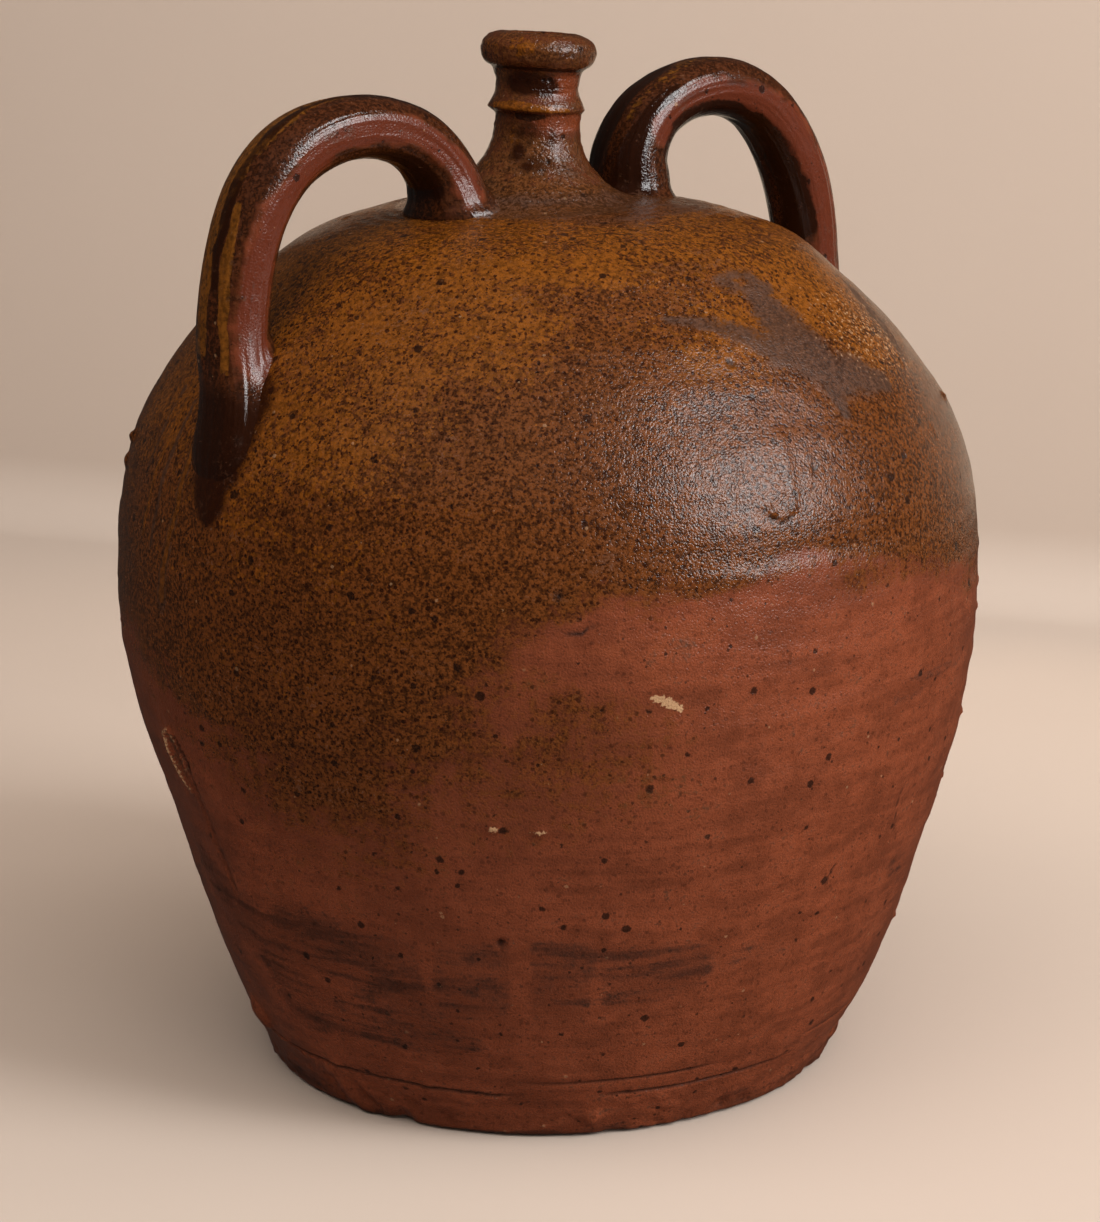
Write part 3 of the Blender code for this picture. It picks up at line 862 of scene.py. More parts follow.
@dataclass(frozen=True)
class TurnedLine:
    """A line cut round the foot while the jar turned, broken where the tool skipped.

    Attributes:
        height: Height of the line.
        half_width: Half its width.
        depth: How deep it is cut.
        seed: Number that fixes where it breaks.
        drift: Ripple that leads it up and down.
        press: Ripple of the tool's pressure.
        pressed: Pressures between which it starts to cut.
        sides: Distances from its middle, in half widths, between which it fades.
        shown: Cover of the painted shade in the cut line.
    """

    height: float
    half_width: float
    depth: float
    seed: int
    drift: Ripple = Ripple(0.0011, 0.30, 0)
    press: Ripple = Ripple(1.0, 0.11, 1)
    pressed: Pair = (-0.9, 0.3)
    sides: Pair = (1.5, 0.3)
    shown: float = 0.8

    def cover(self, rind: Rind) -> Field:
        """Cut the line into a grid.

        Args:
            rind: Grid over the surface.

        Returns:
            Cover of every vertex, from 0 to 1.
        """
        places = rind.spread(rind.blank) * (1, 1, 0)
        press = smoothstep(self.press.raised(places, self.seed), *self.pressed)
        distance = np.abs(rind.height - self.height - self.drift.raised(places, self.seed))
        return press * smoothstep(distance / self.half_width, *self.sides)


TURNED_LINES = (TurnedLine(0.0253, 0.0009, 0.0010, 31), TurnedLine(0.0345, 0.0008, 0.0007, 33))


class Wall:
    """The two thrown walls, dressed as one glazed surface that is divided at the seam."""

    def __init__(self, form: WallForm) -> None:
        """Keep the form and draw its outline.

        Args:
            form: Sizes of the wall.
        """
        self.form = form
        self.outline = form.outline()
        self.azimuth = np.linspace(-pi, pi, form.columns, endpoint=False)

    def relief(self, rind: Rind) -> Field:
        """Raise the texture and the seam, and keep the belly and the worn foot in bounds.

        Args:
            rind: Grid over the outside.

        Returns:
            How far each vertex is raised.
        """
        form = self.form
        relief = WALL_TEXTURE.raised(rind) + Seam().raised(rind, form.seam_height)
        belly = np.exp(-(((rind.height - form.belly_height) / form.belly_band) ** 2))
        worn = np.clip(1 - rind.height / form.worn_edge, 0, 1)
        return relief - form.belly_inset * belly - form.worn_edge * worn**2

    def outside(self, run: Field) -> tuple[Field, dict[Zone, Field]]:
        """Shape the outside between two runs.

        Args:
            run: Run of each row.

        Returns:
            Places of the vertices, and their cover by zone.
        """
        rind = Rind(self.outline, run, self.azimuth)
        covers = Dipping().covers(rind)
        relief = self.relief(rind) + lay_marks(WALL_MARKS, rind, covers)
        # Cut the turned lines and paint shade into them.
        for line in TURNED_LINES:
            cut = line.cover(rind)
            relief -= line.depth * cut
            covers[Zone.GROOVE_SHADE] = np.maximum(covers[Zone.GROOVE_SHADE], line.shown * cut)
        places = rind.spread(relief)
        radius = np.hypot(places[..., 0], places[..., 1])
        places[..., :2] *= np.minimum(1, self.form.belly_radius / radius)[..., None]
        places[..., 2] = np.maximum(places[..., 2], 0)
        return places, covers

    def inside(self, low: float, high: float) -> Field:
        """Shape the inside, from the higher run down to the lower one.

        Args:
            low: Lower run, measured on the outside.
            high: Higher run, measured on the outside.

        Returns:
            Places of the vertices.
        """
        count = max(int((high - low) / self.form.inner_row_gap), 2)
        rind = Rind(self.outline, np.linspace(high, low, count), self.azimuth)
        return rind.spread(rind.blank - self.form.thickness)

    def ring(self, radius: float, height: float) -> Field:
        """One level row of vertices."""
        x, y = radius * np.cos(self.azimuth), radius * np.sin(self.azimuth)
        return np.stack((x, y, np.full_like(x, height)), axis=-1)[None]

    def read(self, layer: Field, reach: Field, azimuth: Field) -> Field:
        """Read a value of the finished shoulder between its vertices.

        Args:
            layer: The value at every vertex of the shoulder.
            reach: Radius of each place.
            azimuth: Azimuth of each place, in radians.

        Returns:
            The values.
        """
        radii = np.hypot(self.shoulder[..., 0], self.shoulder[..., 1]).mean(axis=1)
        row = np.interp(reach, radii[::-1], np.arange(len(radii))[::-1])
        column = (azimuth + pi) / (2 * pi) * self.form.columns
        low, left = row.astype(int).clip(0, len(radii) - 2), np.floor(column).astype(int)
        down, across = row - low, column - left
        left, right = left % self.form.columns, (left + 1) % self.form.columns
        near = layer[low, left] * (1 - across) + layer[low, right] * across
        far = layer[low + 1, left] * (1 - across) + layer[low + 1, right] * across
        return near * (1 - down) + far * down

    def close(self, name: str, outer: Field, covers: dict[Zone, Field],
              rest: Sequence[Field]) -> bpy.types.Object:
        """Close a piece of wall with its inner rows.

        Args:
            name: Name of the piece.
            outer: Outer rows.
            covers: Cover of the outer rows, by zone.
            rest: Inner rows, in order after the outer ones.

        Returns:
            The finished object.
        """
        points = np.concatenate([outer, *rest])
        item = make_skin(name, points, closed=True)
        spare = ((0, len(points) - len(outer)), (0, 0))
        lay_cover(item, {zone: np.pad(np.broadcast_to(cover, outer.shape[:2]), spare)
                         for zone, cover in covers.items()})
        return item

    def build(self) -> tuple[bpy.types.Object, bpy.types.Object]:
        """Build the walls.

        Returns:
            The lower and the upper wall.
        """
        form = self.form
        seam = self.outline.level(form.seam_height)
        throat = self.outline.length - form.throat_radius
        foot_rows = np.arange(0, form.foot_band, form.foot_row_gap)
        flank_rows = np.linspace(form.foot_band, seam, int((seam - form.foot_band) / form.row_gap))
        lower_runs = np.concatenate((foot_rows, flank_rows))
        upper_runs = np.linspace(seam, throat, int((throat - seam) / form.row_gap))
        floor_run = self.outline.level(form.floor_meeting)
        lower = self.close("lower_wall_skin", *self.outside(lower_runs), [
            self.inside(floor_run, seam),
            self.ring(form.toe_radius - form.toe_bevel, form.floor_height),
            self.ring(form.toe_radius, 0)])
        dome, covers = self.outside(upper_runs)
        self.shoulder = dome[-form.shoulder_rows:]
        self.shoulder_covers = {zone: np.broadcast_to(cover, dome.shape[:2])[-form.shoulder_rows:]
                                for zone, cover in covers.items()}
        upper = self.close("upper_wall_skin", dome, covers, [self.inside(seam, throat)])
        return lower, upper


@dataclass(frozen=True)
class NeckForm:
    """The thrown neck, in its own frame on the seat in the shoulder.

    Attributes:
        seat: Place of the neck's own origin.
        lean: Angle by which it leans to +X.
        top: Greatest height that the skin may reach, in the jar's frame.
        rim: Height of the lip's top, in the neck's frame.
        stray: How far the part between skirt and bead stands off the axis, to +X.
        stray_start: Heights between which it starts to stray.
        stray_end: Heights between which it comes back, the higher one first.
        fillet: Size of the soft corner between skirt and shoulder.
        skirt_top: Height up to which the skin rests on the shoulder.
        bore_radius: Radius inside which it keeps its own height.
        feather: How far the skirt's edge lies under the shoulder.
        lift: How far the skirt lies over the shoulder inside its edge.
        skirt_edge: Radii between which it goes from one to the other.
        merged: Radii between which its finish becomes the shoulder's.
        glossy: Radii between which its clear glaze ends, the larger one first.
        columns: Vertices round the neck.
        row_gap: Distance between two rows.
        smooth_run: Run past the rim over which the relief fades inside.
        inner_gap: Run between the last fine row and the first coarse one.
        inner_rows: Coarse rows down the bore.
        knots: Radius and height of the profile, from the skirt's edge over the lip to the throat.
    """

    seat: Triple = (-0.0072, 0.0, 0.391)
    lean: float = radians(3.0)
    top: float = 0.4703
    rim: float = 0.0781
    stray: float = 0.0012
    stray_start: Pair = (0.008, 0.020)
    stray_end: Pair = (0.046, 0.041)
    fillet: float = 0.0050
    skirt_top: float = 0.020
    bore_radius: float = 0.0188
    feather: float = 0.0006
    lift: float = 0.00015
    skirt_edge: Pair = (0.058, 0.067)
    merged: Pair = (0.034, 0.056)
    glossy: Pair = (0.046, 0.030)
    columns: int = 288
    row_gap: float = 0.0005
    smooth_run: float = 0.012
    inner_gap: float = 0.002
    inner_rows: int = 24

    knots: tuple[Pair, ...] = (
        (0.069, -0.015), (0.061, -0.01), (0.054, -0.0045), (0.048, 0.0016), (0.0404, 0.0079),
        (0.033, 0.0129), (0.0275, 0.0178), (0.0236, 0.0228), (0.0212, 0.0277), (0.0198, 0.0326),
        (0.0193, 0.0376), (0.0192, 0.041), (0.0197, 0.043), (0.0213, 0.0442), (0.0221, 0.045),
        (0.022, 0.0459), (0.0211, 0.0476), (0.0201, 0.0494), (0.0192, 0.0513), (0.0187, 0.0538),
        (0.0188, 0.0562), (0.0194, 0.059), (0.0201, 0.0612), (0.0214, 0.0628), (0.0236, 0.0643),
        (0.0254, 0.067), (0.0261, 0.0704), (0.0254, 0.073), (0.0237, 0.0752), (0.0213, 0.0769),
        (0.0188, 0.0779), (0.0168, 0.0781), (0.0153, 0.0775), (0.0144, 0.076), (0.0138, 0.0738),
        (0.0129, 0.07), (0.0125, 0.064), (0.0125, 0.048), (0.0125, 0.03), (0.0126, 0.014),
        (0.0145, 0.0055), (0.018, 0))


NECK_MARKS: tuple[Mark, ...] = (
    *daubs(None, 0.9, (-60, 0.069, 0.008, 0.004, 0, -0.0004)),
    *bands(None, 0.45, (0, -0.0003, (-90, 0.0545, 0.0002), (-40, 0.055, 0.0003)),
        (0, -0.0003, (-84, 0.0528, 0.0002), (-44, 0.053, 0.0003))),
    *daubs(Zone.BLUSH, 0.9, (-48, 0.056, 0.008, 0.006, 0.8), (-52, 0.04, 0.014, 0.004, 0.9)),
    *daubs(Zone.OCHRE, 0.9, (-108, 0.0735, 0.009, 0.006, 0.85), (-140, 0.0725, 0.012, 0.006, 0.6),
        (150, 0.0735, 0.016, 0.006, 0.6), (-142, 0.055, 0.005, 0.006, 0.45),
        (-122, 0.032, 0.006, 0.01, 0.6), (-148, 0.03, 0.007, 0.014, 0.5)),
    *bands(Zone.OCHRE, 0.5,
        (1, 0, (-150, 0.0464, 0.0018), (-112, 0.047, 0.0026), (-80, 0.046, 0.0018),
         (-48, 0.0456, 0.001))),
    *daubs(Zone.BROWN, 0.9, (-60, 0.071, 0.06, 0.008, 0.75), (120, 0.071, 0.06, 0.008, 0.75),
        (-86, 0.055, 0.01, 0.006, 0.8), (-100, 0.024, 0.014, 0.018, 0.9)),
    *bands(Zone.BROWN, 0.8,
        (0.9, 0, (-180, 0.008, 0.014), (-90, 0.008, 0.014), (0, 0.008, 0.014), (90, 0.008, 0.014),
         (179, 0.008, 0.014))),
    *daubs(Zone.SMEAR, 0.9, (-48, 0.073, 0.012, 0.006, 0.45), (-52, 0.0475, 0.01, 0.003, 0.45),
        (-44, 0.02, 0.016, 0.012, 0.35)),
    *bands(Zone.SMEAR, 0.9,
        (0.55, 0, (-180, 0.007, 0.008), (-90, 0.007, 0.008), (0, 0.007, 0.008), (90, 0.007, 0.008),
         (179, 0.007, 0.008))),
    # Painted shadow: a thin dark band round the front just under the lip.
    *daubs(Zone.POOL_AND_SHADE, 0.7, (-80, 0.063, 0.07, 0.0012, 0.9)),
    *daubs(Zone.POOL_AND_SHADE, 0.9, (-104, 0.057, 0.012, 0.006, 0.8), (-80, 0.056, 0.007, 0.006, 0.8),
        (-102, 0.036, 0.009, 0.006, 0.55), (-88, 0.022, 0.014, 0.006, 0.5),
        (-70, 0.033, 0.004, 0.008, 0.5), (-112, 0.027, 0.004, 0.006, 0.6),
        (-98, 0.021, 0.005, 0.004, 0.6)),
    # Painted shade: a black band just under the bead's undercut edge.
    *bands(Zone.POOL_AND_SHADE, 0.7,
        (1, 0, (-116, 0.0424, 0.0016), (-100, 0.0424, 0.0021), (-82, 0.0428, 0.001))),
    *bands(Zone.RUN, 0.45,
        (1, 0, (-128, 0.0449, 0.0005), (-100, 0.0449, 0.0006), (-56, 0.0449, 0.0005))),
    # Painted shade in pits on the neck.
    *daubs(Zone.GROOVE_SHADE, 0.6, (-82, 0.0585, 0.0008, 0.0007, 1, -0.0007),
        (-74, 0.0585, 0.0009, 0.0008, 1, -0.0007), (-76, 0.0235, 0.001, 0.0009, 1, -0.0009)),
)
NECK_TEXTURE = Texture(
    ripples=(Ripple(0.00028, 0.045, 51), Ripple(0.00006, 0.01, 52),
             Ripple(0.00009, 0.0042, 53, (10, 10, 1)), Ripple(0.00003, 0.0035, 54)),
    rings=Rings(0.00012, 0.0042, (0.026, 0.036), Ripple(0.001, 0.04, 55)),
    scatters=(Scatter(120, 0.0006, 0.0016, 0.0005, seed=41, high=0.6),
              Scatter(150, 0.0006, 0.0013, -0.0006, seed=42, high=0.6)))


class Neck:
    """The thrown neck with its skirt, bead and rolled lip, as one glazed skin."""

    def __init__(self, form: NeckForm, wall: Wall) -> None:
        """Keep the form and the wall that the neck stands on.

        Args:
            form: Sizes of the neck.
            wall: The wall, already built.
        """
        self.form = form
        self.wall = wall
        self.outline = Outline(form.knots, samples=12)
        self.rim = self.outline.level(form.rim)

    def grid(self) -> Rind:
        """Lay a grid over the neck.

        Returns:
            The grid, fine outside and coarse down the bore.
        """
        form = self.form
        fine_end = self.rim + form.smooth_run
        outer = np.linspace(0, fine_end, int(fine_end / form.row_gap))
        inner = np.linspace(fine_end + form.inner_gap, self.outline.length, form.inner_rows)
        azimuth = np.linspace(-pi, pi, form.columns, endpoint=False)
        return Rind(self.outline, np.concatenate((outer, inner)), azimuth)

    def relief(self, rind: Rind) -> Field:
        """Raise the neck's texture, which fades into the bore.

        Args:
            rind: Grid over the neck.

        Returns:
            How far each vertex is raised.
        """
        inside = smoothstep(rind.run[:, None], self.rim, self.rim + self.form.smooth_run)
        return NECK_TEXTURE.raised(rind) * (1 - inside)

    def stand(self, places: Field) -> Field:
        """Set places of the neck's own frame on the shoulder, with a soft corner.

        Args:
            places: Places in the neck's own frame.

        Returns:
            The places in the jar's frame.
        """
        form = self.form
        x, y, z = np.moveaxis(places, -1, 0)
        x = x + form.stray * smoothstep(z, *form.stray_start) * smoothstep(z, *form.stray_end)
        world_x = form.seat[0] + x * cos(form.lean) + z * sin(form.lean)
        world_z = form.seat[2] - x * sin(form.lean) + z * cos(form.lean)
        own_radius = np.hypot(x, y)
        lift = form.lift - (form.lift + form.feather) * smoothstep(own_radius, *form.skirt_edge)
        bearing = np.arctan2(y, world_x)
        ground = self.wall.read(self.wall.shoulder[..., 2], np.hypot(world_x, y), bearing) + lift
        blend = np.maximum(form.fillet - np.abs(world_z - ground), 0) / form.fillet
        met = np.maximum(world_z, ground) + blend**2 * form.fillet / 4
        resting = (own_radius > form.bore_radius) & (z < form.skirt_top)
        world_z = np.where(resting, met, world_z)
        return np.stack((world_x, y, np.minimum(world_z, form.top)), axis=-1)

    def build(self) -> bpy.types.Object:
        """Build the neck.

        Returns:
            Its skin.
        """
        rind = self.grid()
        covers = {Zone.CLEAR: rind.blank + smoothstep(rind.radius, *self.form.glossy)}
        relief = self.relief(rind) + lay_marks(NECK_MARKS, rind, covers)
        places = self.stand(rind.spread(relief))
        x, y = places[..., 0], places[..., 1]
        reach, bearing = np.hypot(x, y), np.arctan2(y, x)
        merged = smoothstep(rind.radius, *self.form.merged)
        for zone, cover in self.wall.shoulder_covers.items():
            own = covers.get(zone, rind.blank)
            covers[zone] = own + (self.wall.read(cover, reach, bearing) - own) * merged
        item = make_skin("neck_skin", places, closed=True)
        lay_cover(item, covers)
        return item


@dataclass(frozen=True)
class Stripe:
    """A soft band on a strap.

    Attributes:
        zone: What covers it.
        knots: Share of the strap's length, angle round its section in degrees, and half width
            in degrees, in order.
        strength: Cover along its middle.
        edge: Share of its half width over which it fades.
        end: Share of the strap's length over which its ends fade.
    """

    zone: Zone
    knots: tuple[Triple, ...]
    strength: float = 1.0
    edge: float = 0.35
    end: float = 0.022

    def cover(self, share: Field, angle: Field) -> Field:
        """Cover at each place of a strap.

        Args:
            share: Share of the strap's length.
            angle: Angle round its section, in radians.

        Returns:
            The cover, from 0 to 1.
        """
        shares, angles, widths = np.array(self.knots).T
        middle = np.radians(np.interp(share, shares, angles))
        half_width = np.radians(np.interp(share, shares, widths))
        beside = np.abs(wrapped(angle - middle)) / half_width
        past = np.maximum(shares[0] - share, share - shares[-1])
        ends = smoothstep(past, self.end, -self.end)
        return ends * smoothstep(beside, 1 + self.edge, 1 - self.edge)


@dataclass(frozen=True)
class StrapForm:
    """One pulled strap handle.

    Attributes:
        name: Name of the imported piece.
        azimuth: Azimuth of the plane that it arches in, in degrees.
        root_radius: Radius of its root beside the neck.
        foot_height: Height of its foot on the shoulder.
        rise: Height from foot to crest.
        stand_off: How far the foot's centreline stands off the wall.
        shares: Centreline and section: share of the reach past the root, share of the rise, share
            of the width, share of the thickness, and wandering aside as a share of the width.
        stripes: What lies along it.
        seed: Number that fixes its unevenness.
        width: Width of its middle.
        thickness: Thickness of its middle.
        outer_power: How boxy the outer half of its section is; 2 is an oval.
        inner_power: How boxy the inner half is.
        side_count: Vertices round the section.
        samples: Rows in each span of the centreline.
        flare: How far from the wall the clay starts to spread.
        flare_kept: Share of the flare that is left on top of the foot.
        flare_end: Shares of the length between which the top of the foot loses it.
        length: About the length of its centreline.
        girth: About half its thickness.
        ripples: Layers of unevenness, read along its length and round its girth.
        wander: Ripples that lead the stripes astray.
        drift: How far these lead them, as a share of the length and as an angle.
        soot: Ripple of the sooty streaks.
        soot_fade: Values of it between which a streak shows.
        soot_cover: Their cover.
    """

    name: str
    azimuth: float
    root_radius: float
    foot_height: float
    rise: float
    stand_off: float
    shares: tuple[tuple[float, ...], ...]
    stripes: tuple[Stripe, ...]
    seed: int
    width: float = 0.0330
    thickness: float = 0.0270
    outer_power: float = 2.3
    inner_power: float = 2.4
    side_count: int = 144
    samples: int = 14
    flare: float = 0.0065
    flare_kept: float = 0.1
    flare_end: Pair = (0.78, 0.88)
    length: float = 0.16
    girth: float = 0.014
    ripples: tuple[Ripple, ...] = (
        Ripple(0.0004, 0.05, 0), Ripple(0.00008, 0.004, 1, (20, 1, 1)),
        Ripple(0.00008, 0.0018, 5, (20, 1, 1)), Ripple(0.00003, 0.004, 2))
    wander: tuple[Ripple, ...] = (Ripple(0.16, 0.035, 3), Ripple(0.07, 0.01, 4))
    drift: Pair = (0.03, 0.6)
    soot: Ripple = Ripple(1.0, 0.0032, 6, (30, 1, 1))
    soot_fade: Pair = (0.3, 1.8)
    soot_cover: float = 0.5


LEFT_STRAP = StrapForm(
    "handle_left", 217, 0.0527, 0.3296, 0.1025, 0.0008,
    ((-0.094, 0.500, 1.36, 1.36, 0.00), (0.000, 0.641, 1.26, 1.20, 0.00),
     (0.056, 0.793, 1.07, 1.04, 0.00), (0.156, 0.914, 1.00, 1.00, 0.00),
     (0.291, 0.982, 1.00, 1.00, 0.00), (0.438, 1.000, 1.00, 1.00, 0.00),
     (0.584, 0.974, 1.00, 1.00, 0.00), (0.718, 0.902, 1.00, 1.00, 0.00),
     (0.824, 0.788, 1.00, 1.00, 0.00), (0.900, 0.647, 1.00, 1.00, 0.00),
     (0.948, 0.491, 1.00, 1.00, 0.00), (0.976, 0.329, 1.00, 1.00, 0.01),
     (0.994, 0.165, 1.01, 0.98, 0.05), (1.012, 0.000, 1.08, 0.92, 0.17),
     (1.066, -0.150, 1.16, 0.80, 0.36), (1.120, -0.300, 1.12, 0.70, 0.48),
     (1.142, -0.430, 0.70, 0.50, 0.50)),
    (Stripe(Zone.OCHRE, ((0.32, 96, 30), (0.50, 98, 30), (0.62, 104, 22), (0.80, 108, 16)), strength=0.9),
     Stripe(Zone.OCHRE, ((0.56, 64, 7), (0.64, 60, 9), (0.72, 58, 10), (0.81, 58, 9)), edge=0.25),
     Stripe(Zone.BLUSH, ((0.08, 4, 26), (0.20, 0, 22), (0.36, -4, 18), (0.48, -12, 22), (0.60, -10, 32),
                         (0.68, 0, 38), (0.82, 4, 34)), edge=0.95),
     Stripe(Zone.POOL_AND_SHADE, ((0.02, 66, 30), (0.20, 74, 18), (0.40, 80, 10), (0.70, 78, 8)), strength=0.6),
     # Painted shade: the underside of the arch is made near-black.
     Stripe(Zone.POOL_AND_SHADE, ((0.10, -76, 40), (0.50, -92, 46), (0.75, -92, 50)), strength=0.9, edge=0.5),
     Stripe(Zone.POOL_AND_SHADE, ((0.84, 60, 180), (1.00, 60, 180)), strength=0.85, end=0.08),
     Stripe(Zone.CLEAR, ((0.08, 0, 180), (0.86, 0, 180)), end=0.05),
     Stripe(Zone.OCHRE, ((0.16, 128, 18), (0.26, 120, 16)), strength=0.5),
     Stripe(Zone.SMEAR, ((0.00, 0, 180), (0.06, 0, 180)), strength=0.8)),
    seed=61)
RIGHT_STRAP = StrapForm(
    "handle_right", 38, 0.0475, 0.3375, 0.1047, 0.0011,
    ((-0.040, 0.387, 1.36, 1.44, 0.00), (0.000, 0.559, 1.26, 1.29, 0.00),
     (0.008, 0.727, 1.10, 1.12, 0.00), (0.088, 0.872, 1.03, 1.03, 0.00),
     (0.225, 0.962, 1.00, 1.00, 0.00), (0.378, 1.000, 1.00, 1.00, 0.00),
     (0.533, 0.988, 1.00, 1.00, 0.00), (0.678, 0.921, 1.00, 1.00, 0.00),
     (0.793, 0.804, 1.00, 1.00, 0.00), (0.881, 0.662, 1.00, 1.00, 0.00),
     (0.943, 0.505, 1.00, 1.00, 0.00), (0.982, 0.339, 1.00, 1.00, 0.00),
     (1.000, 0.167, 1.02, 0.98, 0.00), (1.004, 0.000, 1.16, 0.92, 0.00),
     (1.035, -0.167, 0.96, 0.74, 0.00), (1.070, -0.320, 0.50, 0.45, 0.00)),
    (Stripe(Zone.OCHRE, ((0.16, 112, 16), (0.30, 108, 18), (0.45, 104, 12)), strength=0.50, edge=0.9),
     Stripe(Zone.BLUSH, ((0.16, 188, 18), (0.45, 184, 30), (0.86, 180, 34)), edge=0.95),
     # Painted shade: the underside of the arch, and the face by the neck near the root.
     Stripe(Zone.POOL_AND_SHADE, ((0.05, 225, 30), (0.50, 238, 34), (0.75, 234, 30)), strength=0.9, edge=0.5),
     Stripe(Zone.POOL_AND_SHADE, ((0.04, 130, 36), (0.16, 146, 22), (0.26, 150, 12)), strength=0.85, edge=0.6),
     Stripe(Zone.POOL_AND_SHADE, ((0.10, 50, 40), (0.50, 60, 40), (0.80, 70, 40)), strength=0.7),
     Stripe(Zone.CLEAR, ((0.08, 0, 180), (0.90, 0, 180)), end=0.05),
     Stripe(Zone.SMEAR, ((0.00, 0, 180), (0.06, 0, 180)), strength=0.7)),
    seed=71)


class Strap:
    """A pulled strap handle, as one skin whose flared ends sink into the shoulder."""

    def __init__(self, form: StrapForm, wall: Outline) -> None:
        """Keep the form and the wall that the strap is luted to.

        Args:
            form: Sizes of the strap.
            wall: Outline of the wall.
        """
        self.form = form
        self.wall = wall

    def stations(self) -> Field:
        """Draw the centreline.

        Returns:
            Radius, height, half width, half thickness and sideways place of each row.
        """
        form = self.form
        reach = float(self.wall.radius_at(self.wall.level(form.foot_height))) + form.stand_off
        run = reach - form.root_radius
        return smooth_curve([
            (form.root_radius + out * run, form.foot_height + up * form.rise,
             wide * form.width / 2, thick * form.thickness / 2, aside * form.width)
            for out, up, wide, thick, aside in form.shares], form.samples)

    def section(self, angle: Field, half_width: Field,
                half_thickness: Field) -> tuple[Field, Field]:
        """Rounded box section of a strap.

        Args:
            angle: Angles round the section.
            half_width: Half the width at each station.
            half_thickness: Half the thickness at each station.

        Returns:
            Distance across and distance out.
        """
        power = np.where(np.sin(angle) >= 0, self.form.outer_power, self.form.inner_power)
        across = half_width * np.abs(np.cos(angle)) ** (2 / power) * np.sign(np.cos(angle))
        out = half_thickness * np.abs(np.sin(angle)) ** (2 / power) * np.sign(np.sin(angle))
        return across, out

    def depth(self, reach: Field, height: Field) -> Field:
        """Distance of points from the wall, counted outward.

        Args:
            reach: Radius of each point.
            height: Height of each point.

        Returns:
            The distance, negative inside the wall.
        """
        points = np.stack((reach.ravel(), height.ravel()), axis=-1)
        line = np.stack((self.wall.radii, self.wall.heights), axis=-1)
        nearest = np.array([np.argmin(np.hypot(*(line - point).T)) for point in points])
        outward = self.wall.outward_at(self.wall.runs[nearest])
        return np.sum((points - line[nearest]) * outward, axis=-1).reshape(reach.shape)

    def dress(self, share: Field, angle: Field) -> tuple[Field, dict[Zone, Field]]:
        """Lay the strap's unevenness and stripes.

        Args:
            share: Share of the length of each row, as a column.
            angle: Angle round the section of each column, as a row.

        Returns:
            How far each vertex is raised, and its cover by zone.
        """
        form = self.form
        round_x, round_y = form.girth * np.cos(angle), form.girth * np.sin(angle)
        flow = np.stack(np.broadcast_arrays(share * form.length, round_x, round_y), axis=-1)
        relief = rippled(flow, form.ripples, form.seed)
        wander = rippled(flow, form.wander, form.seed)
        along, round_it = (drift * wander for drift in form.drift)
        covers: dict[Zone, Field] = {}
        for stripe in form.stripes:
            cover = stripe.strength * stripe.cover(share + along, angle + round_it)
            covers[stripe.zone] = np.maximum(covers.get(stripe.zone, 0), cover)
        streaks = form.soot.raised(flow, form.seed)
        covers[Zone.SOOT] = form.soot_cover * smoothstep(streaks, *form.soot_fade)
        return relief, covers

    def build(self) -> bpy.types.Object:
        """Build the strap.

        Returns:
            Its skin.
        """
        form = self.form
        radius, height, half_width, half_thickness, aside = self.stations().T[:, :, None]
        steps = np.gradient(np.hstack((radius, height)), axis=0)
        lengths = np.linalg.norm(steps, axis=1, keepdims=True)
        outward_radius, outward_height = -steps[:, 1:] / lengths, steps[:, :1] / lengths
        run = np.cumsum(lengths)
        share = ((run - run[0]) / (run[-1] - run[0]))[:, None]
        angle = np.linspace(0, 2 * pi, form.side_count, endpoint=False)[None, :]
        across, out = self.section(angle, half_width, half_thickness)
        relief, covers = self.dress(share, angle)

        sides = np.hypot(across, out)
        top = smoothstep(share, *form.flare_end) * np.clip(np.sin(angle), 0, 1)
        flare = form.flare * (1 - (1 - form.flare_kept) * top)
        grown, rounds = 1 + relief / sides, 2
        for _ in range(rounds):
            reach = np.hypot(radius + out * grown * outward_radius, aside + across * grown)
            level = height + out * grown * outward_height
            near = np.clip(1 - self.depth(reach, level) / form.flare, 0, 1)
            grown = 1 + (relief + flare / 2 * near**2) / sides
        x = radius + out * grown * outward_radius
        y = aside + across * grown
        z = height + out * grown * outward_height
        turn = radians(form.azimuth)
        places = np.stack((x * cos(turn) - y * sin(turn), x * sin(turn) + y * cos(turn), z), axis=-1)
        item = make_skin(form.name + "_skin", places, closed=False)
        lay_cover(item, covers)
        return item


